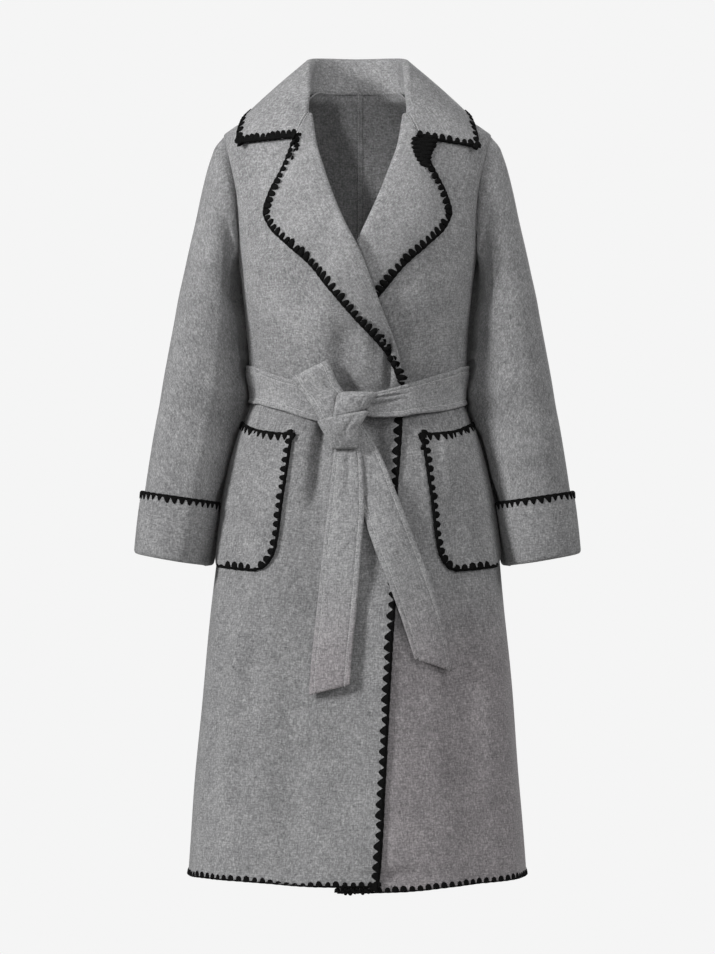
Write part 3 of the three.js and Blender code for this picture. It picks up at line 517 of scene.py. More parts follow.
def front_lines(hem_change, over):
    """Outer and inner end of each line of a front, from the hem to the shoulder seam."""
    def roll_at(z):
        return along(lapel, "q", z) + over * along(lapel, "over", z)

    z = np.linspace(HEM, BREAK, SKIRT_LINES)
    inner = z + hem_change * np.clip((z - WAIST_LINE) / (HEM - WAIST_LINE), 0, None)
    out_z, out_turn, in_z = [z], [side_turn(z, "front")], [inner]
    in_q = [along(front_edge, "q", inner)]
    s = np.linspace(0, 1, BODICE_LINES + 1)[1:]
    z, inner = lerp(BREAK, UNDERARM, s), lerp(BREAK, CHEST_ROLL, s)
    out_z, out_turn, in_z = out_z + [z], out_turn + [side_turn(z, "front")], in_z + [inner]
    in_q.append(roll_at(inner))
    step = np.linspace(0, ARM_STEPS, ARM_LINES + 1)[1:]
    z, turn = arm_point(180 - step * 180 / ARM_STEPS)
    above = np.clip((step - GORGE_ARM_STEP) / (ARM_STEPS - GORGE_ARM_STEP), 0, 1)
    below = np.clip(step / GORGE_ARM_STEP, 0, 1)
    inner = np.where(above > 0, lerp(GORGE, NECK_SIDE, above), lerp(CHEST_ROLL, GORGE, below))
    out_z.append(z)
    out_turn.append(np.minimum(turn, side_turn(z, "front")))
    in_z.append(inner)
    in_q.append(roll_at(np.minimum(inner, GORGE)) + NECK_SPREAD * np.maximum(inner - GORGE, 0))
    return [np.concatenate(x) for x in (out_z, out_turn, in_z, in_q)]


LAST_LAPEL_LINE = SKIRT_LINES + BODICE_LINES + round(ARM_LINES * GORGE_ARM_STEP / ARM_STEPS) - 1


def front_grid(side, over):
    """Places and directions of a front and its lapel, and which cells are cut away."""
    out_z, out_turn, in_z, in_q = front_lines(OVER_HEM_LIFT if over else -UNDER_HEM_DROP, over)
    in_turn = np.minimum(turn_at(in_q, in_z), side_turn(in_z, "front"))
    s = np.linspace(0, 1, FRONT_COLUMNS + 1)
    z = lerp(out_z[:, None], in_z[:, None], s)
    turn = side * lerp(out_turn[:, None], in_turn[:, None], s)
    z = hem_lifted(turn, z)

    def lift(turn, z):
        return lift_over(plain_body(turn, z)[..., 0], z) if over else np.zeros(np.shape(z))

    plain, _ = form_point(turn, z)
    from_side = lengths(plain, 1)
    from_shoulder = lengths(plain[::-1], 0)[::-1]
    rise = lift(turn, z) + seam_dip(from_side) + seam_dip(from_shoulder)
    panel, panel_facing = form_point(turn, z, rise)
    root, root_facing = panel[:, -1], panel_facing[:, -1]
    onward = root - panel[:, -2]
    onward = unit(onward - root_facing * np.sum(onward * root_facing, -1, keepdims=True))
    radius = along(lapel, "radius", in_z)[:, None]
    turned = []
    for bend in np.linspace(0, math.pi, ROLL_COLUMNS + 2)[1:-1]:
        turned.append(root + root_facing * radius * (1 - math.cos(bend))
                      + onward * radius * math.sin(bend))
    for t in np.linspace(0, 1, LAPEL_COLUMNS + 1):
        q = lerp(in_q, along(lapel, "edge_q", in_z), t)
        z_lapel = lerp(in_z, along(lapel, "edge_z", in_z), t)
        turn_lapel = side * turn_at(q, z_lapel)
        out = lift(turn_lapel, z_lapel) + lapel_out(radius[:, 0], t)
        turned.append(form_point(turn_lapel, z_lapel, out)[0])
    at = np.concatenate([panel, np.stack(turned, 1)], 1)
    facing = np.concatenate([panel_facing, -side * grid_facing(at)[:, FRONT_COLUMNS + 1:]], 1)
    cut_away = np.zeros((at.shape[0] - 1, at.shape[1] - 1), bool)
    cut_away[:SKIRT_LINES - 1, FRONT_COLUMNS:] = True
    cut_away[LAST_LAPEL_LINE:, FRONT_COLUMNS:] = True
    return at, facing, cut_away


coating = wool_coating("grey_wool_coating")
coating_warm = wool_coating("grey_wool_coating_warm", warm="837f81")
front_edges = {}
for (hand, side), cloth in zip(SIDES, [coating, coating_warm]):
    at, facing, cut = front_grid(side, over=side < 0)
    front_edges[side] = at, facing
    piece = cloth_wall(f"front_{hand}_cloth", at, facing, cut_away=cut)
    finish_cloth(piece, cloth)


# ---- backs ----
# Two half backs of the same coating, seamed down the middle and to the fronts at the sides. Inside,
# the allowance of the middle seam is pressed over to the left.
BACK_LINES, BACK_COLUMNS = 182, 64
ALLOWANCE, ALLOWANCE_THICK = 7.4, 2.6
back_top = table(
    "step turn z", [0, 180, -240], [2, 180, -184], [4, 180, -124], [6, 180, -60],
    [8, 180, 9.5], [9, 160, 9.2], [10, 137, 9], [11, 113, 8], [12, 90, NECK_SIDE])


def back_grid(side):
    z = np.linspace(HEM, UNDERARM, BACK_LINES)
    step = np.linspace(0, ARM_STEPS, ARM_LINES + 1)[1:]
    hole_z, hole_turn = arm_point(180 + step * 180 / ARM_STEPS)
    in_z = along(back_top, "z", step, "step")
    in_turn = np.minimum(along(back_top, "turn", step, "step"), 180 - turn_at(SEAM / 2, in_z))
    out_z, inner_z = np.concatenate([z, hole_z]), np.concatenate([z, in_z])
    out_turn = np.concatenate([side_turn(z, "back"),
                               np.maximum(hole_turn, side_turn(hole_z, "back"))])
    inner_turn = np.concatenate([180 - turn_at(SEAM / 2, z),
                                 np.maximum(in_turn, side_turn(in_z, "back"))])
    s = np.linspace(0, 1, BACK_COLUMNS + 1)
    z = lerp(out_z[:, None], inner_z[:, None], s)
    turn = side * lerp(out_turn[:, None], inner_turn[:, None], s)
    z = hem_lifted(turn, z)
    plain, _ = form_point(turn, z)
    from_side, from_middle = lengths(plain, 1), lengths(plain[:, ::-1], 1)[:, ::-1]
    from_shoulder = lengths(plain[::-1], 0)[::-1]
    dip = seam_dip(from_side) + seam_dip(from_middle) + seam_dip(from_shoulder)
    return form_point(turn, z, dip)


back_edges = {}
for hand, side in SIDES:
    at, facing = back_grid(side)
    back_edges[side] = at, facing
    back = cloth_wall(f"back_{hand}_cloth", at, facing)
    finish_cloth(back, coating)

x = np.linspace(0.3, ALLOWANCE, 9)
z = np.linspace(HEM + 12, back_top["z"][4] - 2, 240)[:, None]
at, facing = form_point(180 - turn_at(x, z), z, seam_dip(x) - (CLOTH + ALLOWANCE_THICK) / 2)
allowance = cloth_wall("back_seam_allowance", at, facing, ALLOWANCE_THICK)
allowance.data.materials.append(coating)
middle_seam = at[:, 1], -facing[:, 1]
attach(allowance, "root")


# ---- sleeves ----
# Set-in sleeves, each a tube of coating that is eased into the armhole and hangs a little bent.
ARM_SQUARENESS = 2.2
SLEEVE_CLEAR = 1.0
POCKET_ALLOWANCE, BELT_ALLOWANCE = 6, 5
HANGS_BEHIND = 34             # how far the sleeve's inner side swings behind the body
PRESSED_SOFTLY = 5            # how gently the sleeve bends where it lies along the body
SEWN_OVER = 1.6               # step out from the body's edge to the sleeve's, at the armhole
CUFF_START, CUFF_OUT = 0.903, 4.6
SLEEVE_ROUND, SLEEVE_LINES, SLEEVE_LONG = 100, 130, 600
sleeve = table(
    "t out_q out_z in_q in_z mid_y half_y",
    [0, 199.4, -63, 177.2, -235, -1, 44], [0.02, 208, -79, 176, -238, -2, 50],
    [0.05, 216, -97, 171, -243, -3, 55], [0.12, 226, -136, 164, -256, -2, 60],
    [0.2, 236, -184, 156, -277, -2, 64], [0.3, 247, -232, 150, -307, -3, 66],
    [0.45, 264, -316, 144, -367, -8, 66], [0.6, 280, -402, 148, -437, -14, 65],
    [0.75, 295, -488, 166, -510, -20, 63], [0.87, 306, -558, 183, -575, -25, 60],
    [1, 321, -667, 211, -686, -30, 56])
# Turn round the sleeve (0 outside, 90 in front), place along it, spread both ways, and rise.
sleeve_folds = table(
    "turn t across along rise",
    [120, 0.27, 40, 0.24, -17], [114, 0.62, 36, 0.2, -10], [120, 0.3, 40, 0.035, -4],
    [60, 0.42, 46, 0.05, 3], [140, 0.47, 40, 0.03, -4], [120, 0.62, 50, 0.04, 3],
    [70, 0.7, 50, 0.04, -3], [250, 0.4, 50, 0.04, -4],
    [230, 0.56, 46, 0.04, 3], [285, 0.68, 50, 0.04, -3], [100, 0.52, 30, 0.02, -1.4],
    [85, 0.8, 36, 0.03, 1.6], [200, 0.33, 40, 0.03, -2], [260, 0.82, 40, 0.03, 1.6])


def ring_point(angle, row):
    c = power(np.cos(np.radians(angle)), 2 / ARM_SQUARENESS)
    s = power(np.sin(np.radians(angle)), 2 / ARM_SQUARENESS)
    behind = HANGS_BEHIND * smooth(row["t"], 0.05, 0.25) * smooth(-c, 0.1, 1)
    return np.stack([(row["out_q"] + row["in_q"]) / 2 + c * (row["out_q"] - row["in_q"]) / 2,
                     row["mid_y"] - s * row["half_y"] + behind,
                     (row["out_z"] + row["in_z"]) / 2 + c * (row["out_z"] - row["in_z"]) / 2], -1)


def sleeve_place(angle, t, side):
    """Place of the sleeve's cloth; its first ring is the armhole, moved out by a seam gap."""
    angle, t = np.broadcast_arrays(np.asarray(angle, float), np.asarray(t, float))
    at = ring_point(angle, {name: along(sleeve, name, t, "t") for name in sleeve})
    hole_z, hole_turn = arm_point(angle)
    hole = form_point(side * hole_turn, hole_z)[0] * [side, 1, 1] + [SEWN_OVER, 0, 0]
    first = ring_point(angle, {name: sleeve[name][0] for name in sleeve})
    at = at + (hole - first) * (np.clip(1 - t / 0.2, 0, None) ** 2)[..., None]
    cuffed = smooth(t, CUFF_START - 0.06, CUFF_START)
    low = -at[..., 2]
    pocketed = smooth(low, 484, 504) * POCKET_ALLOWANCE * (1 - smooth(at[..., 1], 0, 25))
    belted = smooth(low, 386, 400) * (1 - smooth(low, 452, 464)) * BELT_ALLOWANCE
    need = CLOTH + SLEEVE_CLEAR + cuffed * (CUFF_OUT + CLOTH / 2) + pocketed + belted
    deep = np.where(at[..., 1] < 0, along(body, "front", -low), along(body, "back", -low))
    share = np.minimum(1, np.abs(at[..., 1]) / deep)
    least = along(body, "half", at[..., 2]) * (1 - share ** SQUARENESS) ** (1 / SQUARENESS) + need
    apart = at[..., 0] - least
    beside = least + (apart + np.hypot(apart, PRESSED_SOFTLY)) / 2
    hanging = smooth(t, 0.01, 0.05) * smooth(UNDERARM + 12 + low, 0, 25)
    at[..., 0] = lerp(at[..., 0], beside, hanging)
    return at


def sleeve_point(angle, t, side, out=0.0):
    d_angle, d_t = 2, 0.004
    round_ = sleeve_place(angle + d_angle, t, side) - sleeve_place(angle - d_angle, t, side)
    down = (sleeve_place(angle, np.minimum(t + d_t, 1), side)
            - sleeve_place(angle, np.maximum(t - d_t, 0), side))
    facing = unit(np.cross(round_, down))
    rise = np.zeros(np.shape(angle)) + out
    for turn, place, across, lengthwise, height in zip(*sleeve_folds.values()):
        away = turn_between(angle, turn)
        rise = rise + height * np.exp(-((away / across) ** 2) - ((t - place) / lengthwise) ** 2)
    rise = out + (rise - out) * smooth(t, 0, 0.09)
    at = sleeve_place(angle, t, side) + facing * rise[..., None]
    return at * [side, 1, 1], facing * [side, 1, 1]


for hand, side in SIDES:
    t = (np.linspace(0, 1, SLEEVE_LINES) ** 1.08)[:, None]
    angle = np.arange(SLEEVE_ROUND) * 360 / SLEEVE_ROUND
    from_head = t * SLEEVE_LONG
    head = seam_dip(from_head, depth=1.6, reach=5) + 1.6 * np.exp(-((from_head - 13) / 8) ** 2)
    at, facing = sleeve_point(angle, t + 0 * angle, side, head)
    hole_z, hole_turn = arm_point(angle)
    hole_facing = form_point(side * hole_turn, hole_z)[1]
    within = unit(at[0] - at[2])
    turned_in = [at[0] + within * reach - hole_facing * sunk
                 for reach, sunk in [(7, 2.7), (2.6, 2.1)]]
    at = np.concatenate([turned_in, at])
    facing = np.concatenate([[hole_facing, unit(hole_facing + facing[0])], facing])
    piece = cloth_wall(f"sleeve_{hand}_cloth", at, facing, loop=True)
    finish_cloth(piece, coating)


# ---- cuffs ----
# Each sleeve ends in a deep cuff: a band of coating turned back outside the sleeve, folded under
# its end and caught up inside.
CUFF_LOWER = 3.9
CUFF_LINES, CUFF_FOLD_LINES = 24, 7
cuff_edges = {}
for hand, side in SIDES:
    turn_under = CLOTH + SEAM + 0.4
    fold_depth = turn_under + 1.6
    s = np.linspace(0, 0.97, CUFF_LINES)
    t = [lerp(CUFF_START, 1, s)]
    out = [lerp(CUFF_OUT + 0.8, CUFF_LOWER, s) + 0.8 * np.sin(math.pi * s)]
    drop = [0 * s]
    bend = np.linspace(15, 165, CUFF_FOLD_LINES)
    t.append(np.ones(CUFF_FOLD_LINES))
    out.append(CUFF_LOWER * np.cos(np.radians(bend)))
    drop.append(fold_depth * np.sin(np.radians(bend)))
    t.append(np.array([0.99, 0.975, 0.96]))
    out.append(np.full(3, -CUFF_LOWER))
    drop.append(np.zeros(3))
    t, out, drop = (np.concatenate(x)[:, None] for x in (t, out, drop))
    down = unit(sleeve_place(angle, 1.0, side) - sleeve_place(angle, 0.96, side))
    at, _ = sleeve_point(angle + 0 * t, t + 0 * angle, side, out + 0 * angle)
    at = at + down * [side, 1, 1] * drop[..., None]
    facing = grid_facing(at, loop=True)
    if np.sum(facing[0] * (at[0] - at[0].mean(0))) < 0:
        facing = -facing
    cuff_edges[side] = at, facing
    piece = cloth_wall(f"cuff_{hand}_cloth", at, facing, loop=True)
    finish_cloth(piece, coating)


# ---- collar ----
# A wide collar in one cut: a low stand that is sewn to the neck, and a fall that rolls over it and
# spreads to the shoulders. Its ends are sewn to the tops of the lapels, short of their points.
COLLAR_LINES = 66
GORGE_STEP, GORGE_GAP = 7, 0.5
LEFT_LOWER = 6                # the left fall's end hangs lower than the right one
collar = table(
    "step seam_q seam_y seam_z roll_q roll_y roll_z edge_q edge_y edge_z radius belly stand",
    [0, 0, 60, 7.4, 0, 69, 61, 0, 116, -50, 6, 5, 1],
    [1, 30, 55, 7.2, 31, 63, 61, 64, 114, -49, 6, 5, 1],
    [2, 53, 39.5, 6.4, 55, 44, 59, 118, 94, -43, 6, 4, 1],
    [3, 66.5, 19, 4.2, 64, 21, 55, 149, 53, -34, 6, 3, 1],
    [4, 71.5, 0, 0, 66, -1, 49.5, 160, 16, -27, 6, 2.5, 1],
    [5, 73, -24, -9.5, 68, -26, 32, 167, -12, -34, 6, 3, 1],
    [6, 72, -46, -20, 69, -50, 8, 172, -35, -47, 5, 4, 1],
    [7, 70, -68, -34.5, 69, -72, -24, 175, -51, -60.5, 3.5, 4, 0.45],
    [8, 91.5, -90, -71.5, 93, -90, -71.5, 175.5, -62.5, -76, 2, 3, 0])
# Shares of the section at which the stand ends, the roll bends and the fall starts.
section_shares = np.concatenate([np.linspace(0, 0.2, 7)[:-1], np.linspace(0.2, 0.5, 9)[:-1],
                                 np.linspace(0.5, 1, 30)])


def lapel_top(side, s, gap):
    """Place on the lapel's top edge, from the roll to the notch, moved clear of it by a gap."""
    row = {name: lapel[name][-1] for name in lapel}

    def spot(share):
        z = lerp(row["z"], row["edge_z"], share)
        turn = side * turn_at(lerp(row["q"], row["edge_q"], share), z)
        return form_point(turn, z, lapel_out(row["radius"], share))

    gorge = unit(spot(1.0)[0] - spot(0.0)[0])
    at, facing = spot(s)
    return at + unit(np.cross(facing, gorge)) * side * gap


def collar_section(step, side):
    value = {name: float(along(collar, name, step, "step")) for name in collar}
    on_lapel = lapel_top(side, max(0.0, step - GORGE_STEP), GORGE_GAP)
    share = min(step, GORGE_STEP - 1)
    on_neck = np.array([side * along(collar, "seam_q", share, "step"),
                        along(collar, "seam_y", share, "step"),
                        along(collar, "seam_z", share, "step")])
    seam = lerp(on_neck, on_lapel, smooth(step, GORGE_STEP - 1, GORGE_STEP))
    roll = np.array([side * value["roll_q"], value["roll_y"], value["roll_z"]])
    lower = LEFT_LOWER * smooth(step, 4.5, 6.5) if side > 0 else 0
    edge = np.array([side * value["edge_q"], value["edge_y"], value["edge_z"] - lower])
    up = np.array([0, 0, 1.0])
    reach = np.hypot(*(edge - roll)[:2])
    away = (edge - roll) * [1, 1, 0] / reach
    base = roll - up * value["radius"]
    centre = base + away * value["radius"]
    p = section_shares[:, None]
    standing = seam + (base - seam) * p / 0.2
    bend = np.radians(np.interp(p, [0.2, 0.3, 0.4, 0.5], [180, 125, 80, 40]))
    rolled = centre + value["radius"] * (away * np.cos(bend) + up * np.sin(bend))
    s = (p - 0.5) / 0.5
    start = rolled[np.searchsorted(section_shares, 0.5)]
    chord = edge - start
    bulge = unit(up * reach - away * chord[2])
    falling = start + chord * s + bulge * value["belly"] * 4 * s * (1 - s)
    shaped = np.where(p < 0.2, standing, np.where(p < 0.5, rolled, falling))
    s = p ** 1.4
    flat = seam + (edge - seam) * s + np.array([0, -1, 0]) * value["belly"] * 3 * s * (1 - s)
    return lerp(flat, shaped, value["stand"])


steps = GORGE_STEP + 1
collar_at = np.stack([collar_section(steps * abs(i) / COLLAR_LINES, -1 if i < 0 else 1)
                      for i in range(-COLLAR_LINES, COLLAR_LINES + 1)])
collar_facing = grid_facing(collar_at)
if collar_facing[COLLAR_LINES, -2] @ np.array([0, 1, 0]) < 0:
    collar_facing = -collar_facing
collar_piece = cloth_wall("collar_cloth", collar_at, collar_facing)
finish_cloth(collar_piece, coating, replaces=["collar"])


# ---- patch pockets ----
# Two large patch pockets lie on the fronts, let into the side seams, with rounded lower corners.
POCKET_LINES, POCKET_COLUMNS = 52, 40
POCKET_SLANT_TOP, POCKET_SLANT_BOTTOM, POCKET_CLEAR = 17, 7, 1.6
pocket = table(
    "z inner outer_turn", [-696, 143, 69], [-692, 132, 76], [-684, 124, 81.5], [-669, 116.5, 85.5],
    [-646, 112, 87], [-619, 108.5, 87], [-580, 102.5, 87], [-540, 96, 87], [-499, 90.5, 87])
pocket_edges = {}
for hand, side in SIDES:
    s = (np.linspace(0, 1, POCKET_LINES) ** 1.25)[:, None]
    row_z = lerp(pocket["z"][0], pocket["z"][-1], s)
    turn = lerp(turn_at(along(pocket, "inner", row_z), row_z), along(pocket, "outer_turn", row_z),
                np.linspace(0, 1, POCKET_COLUMNS + 1))
    z = row_z + lerp(POCKET_SLANT_BOTTOM, POCKET_SLANT_TOP, s) * smooth(turn, 35, 90)
    lift = lift_over(plain_body(-turn, z)[..., 0], z) if side < 0 else 0
    across = np.linspace(0, 1, POCKET_COLUMNS + 1)
    belly = 1.6 * np.sin(math.pi * across) ** 0.7 * np.sin(math.pi * np.clip(s * 0.75, 0, 1)) ** 0.7
    at, facing = form_point(side * turn, z, lift + CLOTH + POCKET_CLEAR + belly)
    pocket_edges[side] = at, facing
    piece = cloth_wall(f"pocket_{hand}_cloth", at, facing)
    finish_cloth(piece, coating)


# ---- tie belt ----
# A wide belt of the coating, doubled, bagged out and topstitched near its edges. It goes once
# round the waist, is tied in front with half a bow, and its two ends hang down, cut slanting.
BELT_CLOTH = 3.6
LOOP_CLOTH, KNOT_CLOTH = 5, 6
BELT_WIDE, BELT_SEEN = 0.06, 57   # its width as cut, in metres, and as made
STITCH_IN = 6.6               # topstitching, in from the belt's edges
# Pleats that fan out from the knot: turns and shares of the belt's width at both ends, half width
# as a share, and rise.
PLEATS = [(-356, -334, 0.74, 0.66, 0.05, -4.6), (-356, -337, 0.44, 0.50, 0.045, -4.0),
          (-356, -338, 0.59, 0.58, 0.06, 1.6), (-17, -34, 0.3, 0.5, 0.1, -1.5)]
waist = table(
    "turn top bottom out",
    [-15, -431, -483, 12.5], [-22, -426, -478.5, 13.2], [-32, -419, -471, 13.8],
    [-45, -411, -463.5, 10.6], [-66, -401.5, -455, 4.6], [-90, -398, -453, 4.2],
    [-135, -396, -453, 5], [-180, -396, -453, 6.5], [-225, -396, -453, 5],
    [-270, -398, -455, 4.2], [-292, -403, -459.5, 4.6], [-315, -412, -467, 6.5],
    [-326, -418, -470, 9.5], [-335, -424, -473, 13.6], [-341, -429, -476, 14.2],
    [-353, -441, -477, 15.5], [-357, -446, -475.5, 16])
# Stretches in front of the knot: the two edges, the stand-off and the crown between the edges.
TIED = "x1 z1 x2 z2 out crown"
tail_left = table(
    TIED, [-29, -514, 1, -512, 15.5, 2], [-33, -543, 6, -548, 15, 2], [-40, -607, 8, -602, 14, 1],
    [-48, -671, 4, -665, 14, 1], [-58, -772, -4, -762, 14, 1], [-64, -830, -10, -822, 13.5, 1],
    [-67, -871, -12, -856, 13, 1])
tail_right = table(
    TIED, [-12, -497, 6, -489, 8.6, 1], [-8, -545, 32, -533, 8.8, 1], [5, -600, 53, -586, 9, 1],
    [22, -655, 74, -641, 9.8, 1], [41.5, -706, 93, -690, 10, 1], [61, -760, 112, -745, 9.4, 1],
    [81, -820, 134, -838, 7.6, 1])
loop_fold = table(
    TIED, [-47, -487, -10, -472, 20, 1], [-57, -469, -15.5, -450, 21, 3],
    [-70, -445, -29, -421, 20.4, 4], [-84, -419, -40, -396.5, 18.6, 3],
    [-86, -415.5, -43, -393.5, 17.8, 1])
knot_over = table(
    TIED, [-31, -482, -25, -451, 29.5, 1], [-28, -479, -22, -446.5, 32, 2],
    [-13, -476, -12, -444.5, 33, 4], [2, -472, 6, -444.5, 31.5, 4],
    [9, -469, 18, -444.5, 28.5, 3], [13, -465, 25, -446.5, 24.5, 2])
knot_wrap = table(
    TIED, [-50, -487.5, 12, -474.5, 33.5, 5], [-46.5, -495, 5.5, -486, 33.5, 6],
    [-41, -505, -2, -499, 31, 6], [-36.5, -516, 0, -513, 26.5, 4], [-34, -522.5, 0, -521.5, 23, 2])


def tied_grid(rows, lines, columns, dents=()):
    """Places and directions of a stretch of belt in front of the coat. A dent is a crease across
    its grid: both ends as shares across and along, half width as a share, and rise."""
    index = np.arange(len(rows["out"]), dtype=float)
    keyed = dict(rows, row=index)
    k = np.linspace(0, index[-1], lines)
    x1, z1, x2, z2, out, crown = (along(keyed, name, k, "row")[:, None] for name in TIED.split())
    s = np.linspace(0, 1, columns)
    rise = out + crown * 4 * s * (1 - s)
    lengthwise = np.linspace(0, 1, lines)[:, None]
    for s_a, l_a, s_b, l_b, wide, height in dents:
        run = np.array([s_b - s_a, l_b - l_a])
        p = ((s - s_a) * run[0] + (lengthwise - l_a) * run[1]) / (run @ run)
        aside = ((s - s_a) * run[1] - (lengthwise - l_a) * run[0]) / np.hypot(*run)
        fade = smooth(p, -0.05, 0.2) * smooth(1 - p, -0.05, 0.2)
        rise = rise + height * fade * np.exp(-(aside / wide) ** 2)
    x, z = lerp(x1, x2, s), lerp(z1, z2, s)
    return form_point(turn_at(x, z), z, rise, creased=False)


def stitch_groove(width_mm, columns, depth=1.0, reach=1.7):
    """The belt is drawn in along its topstitching, near both edges."""
    from_edge = np.minimum(np.linspace(0, width_mm, columns), np.linspace(width_mm, 0, columns))
    return -depth * np.exp(-((from_edge - STITCH_IN) / reach) ** 2)


# A copy of the coating, painted lighter: the belt is of the coat's own cloth, and its paler greys
# are painted light.
belt_coating_painted_lighter = wool_coating("grey_wool_belt_coating", "555556", "8b8b8c", "bababa", warm="878385")
WAIST_COLUMNS, WAIST_LINES = 330, 34
turn = np.linspace(waist["turn"][0], waist["turn"][-1], WAIST_COLUMNS)
s = np.linspace(0, 1, WAIST_LINES)[:, None]
z = lerp(along(waist, "bottom", turn, "turn"), along(waist, "top", turn, "turn"), s)
tuck = 1.2 * (1 - (2 * s - 1) ** 2) + stitch_groove(BELT_SEEN, WAIST_LINES)[:, None]
for start, end, low, high, wide, height in PLEATS:
    run = (turn - start) / (end - start)
    fade = smooth(run, -0.1, 0.1) * (1 - smooth(run, 0.45, 1))
    tuck = tuck + height * fade * np.exp(-((s - lerp(low, high, run)) / wide) ** 2)
belt_at, belt_facing = form_point(turn, z, along(waist, "out", turn, "turn") + tuck, creased=False)
belt_waist = cloth_wall("belt_waist_cloth", belt_at, belt_facing, BELT_CLOTH)
finish_cloth(belt_waist, belt_coating_painted_lighter)

tied_pieces = {}
for name, rows, thickness, lines, columns, flat, dents in [
    ("belt_tail_left", tail_left, BELT_CLOTH, 90, 38, (BELT_WIDE, 0.36),
     [(0.5, 0.0, 0.55, 0.3, 0.12, -2.0)]),
    ("belt_tail_right", tail_right, BELT_CLOTH, 90, 38, (BELT_WIDE, 0.37),
     [(0.4, 0.0, 0.45, 0.25, 0.14, 1.5)]),
    ("belt_loop", loop_fold, LOOP_CLOTH, 44, 40, (BELT_WIDE, 0.09),
     [(0.42, -0.1, 0.86, 0.34, 0.06, -4.5), (0.7, 0.62, 0.8, 0.16, 0.09, -3.6)]),
    ("belt_knot_over", knot_over, KNOT_CLOTH, 44, 30, (0.035, 0.06),
     [(0.0, 0.25, 0.9, 0.2, 0.06, -1.0), (0.0, 0.62, 0.7, 0.7, 0.07, -1.3)]),
    ("belt_knot_wrap", knot_wrap, KNOT_CLOTH, 40, 44, (BELT_WIDE, 0.06),
     [(0.8, 0.0, 0.6, 0.7, 0.07, -1.6), (0.2, 0.1, 0.35, 0.9, 0.08, -1.2)]),
]:
    at, facing = tied_grid(rows, lines, columns, dents)
    if "knot" not in name:
        at = at + facing * stitch_groove(BELT_SEEN, columns)[None, :, None]
        tied_pieces[name] = at, facing, thickness
    piece = cloth_wall(f"{name}_cloth", at, facing, thickness, round_edge=0.45)
    finish_cloth(piece, belt_coating_painted_lighter)


# ---- blanket stitch ----
# Thick near-black wool yarn, worked over the raw edges by hand: a cord of yarn lies along each
# edge, and at every stitch a strand goes down into the cloth at a right angle to it, drawn in
# to a point, so that the edge looks toothed.
YARN_DARK, YARN_LIGHT = "040404", "171717"
CORD_THICK, HEM_CORD = 0.0048, 0.0032
CORD_OVERHANG = 1.3           # millimetres that the cord stands out past the cloth's edge
TOOTH_DEEP, TOOTH_THICK = 0.0088, 0.0032
YARN_TWIST = 0.0011
THREAD_PITCH, THREAD_LONG, THREAD_THICK = 0.0034, 0.0029, 0.0008


def wool_yarn():
    """Spun wool yarn: near black, matt and slightly hairy, with a fine rope-like twist."""
    material, tree = blank_material("black_wool_yarn")
    here = add_node(tree, "ShaderNodeTexCoord").outputs["Object"]
    fibre = noise(tree, here, YARN_TWIST, Detail=2.0, Distortion=0.6)
    mix = colour_ramp(tree, fibre, (0.35, YARN_DARK), (0.72, YARN_LIGHT))
    bump = made(tree, "ShaderNodeBump", Height=fibre, Strength=0.7, Distance=0.0006)
    surface = made(tree, "ShaderNodeBsdfPrincipled", Base_Color=mix, Roughness=0.9, Normal=bump,
                   Specular_IOR_Level=0.08)
    add_node(tree, "ShaderNodeOutputMaterial", Surface=surface)
    return material


def sewing_thread():
    """Spun sewing thread, a little paler than the coating, with a dull shine."""
    material = bpy.data.materials.new("grey_sewing_thread")
    material.use_nodes = True
    surface = material.node_tree.nodes["Principled BSDF"]
    surface.inputs["Base Color"].default_value = linear("c0c0c0")
    surface.inputs["Roughness"].default_value = 0.6
    return material


yarn, thread = wool_yarn(), sewing_thread()


def stitch_strand(name, rings, sides, width):
    """One strand, from the edge at the origin along +X into the cloth, lying on +Z. It is one
    unit deep, wide and thick, for the tree to scale."""
    mesh = bpy.data.meshes.new(name)
    points = []
    for s in np.linspace(0, 1, rings):
        for a in np.linspace(0, math.tau, sides, endpoint=False):
            up = math.sin(a) if math.sin(a) > 0 else 0.4 * math.sin(a)
            points.append((s, width(s) * math.cos(a), 0.5 * (1 - 0.45 * s ** 2) * up))
    faces = []
    for k in range(rings - 1):
        for j in range(sides):
            low, high, beside = k * sides, (k + 1) * sides, (j + 1) % sides
            faces.append((low + j, low + beside, high + beside, high + j))
    faces += [tuple(range(sides))[::-1], tuple(range((rings - 1) * sides, rings * sides))]
    mesh.from_pydata(points, [], faces)
    mesh.shade_smooth()
    strand = bpy.data.objects.new(name, mesh)
    bpy.context.scene.collection.objects.link(strand)
    strand.hide_render = strand.hide_viewport = True
    return strand


pointed = stitch_strand("pointed_strand", 6, 8, lambda s: 0.5 * (1 - s) ** 0.75 + 0.1)
rounded = stitch_strand("rounded_strand", 8, 8, lambda s: 0.5 * (1.02 - s ** 3.2) ** 0.5)
short = stitch_strand("topstitch_strand", 4, 6, lambda s: 0.3 + 0.8 * s * (1 - s))


def socket(tree, name, kind, default=None, in_out="INPUT"):
    new = tree.interface.new_socket(name=name, in_out=in_out, socket_type=kind)
    if default is not None:
        new.default_value = default


def scaled(tree, vector, scale):
    return made(tree, "ShaderNodeVectorMath", {"operation": "SCALE"}, i0=vector, Scale=scale)


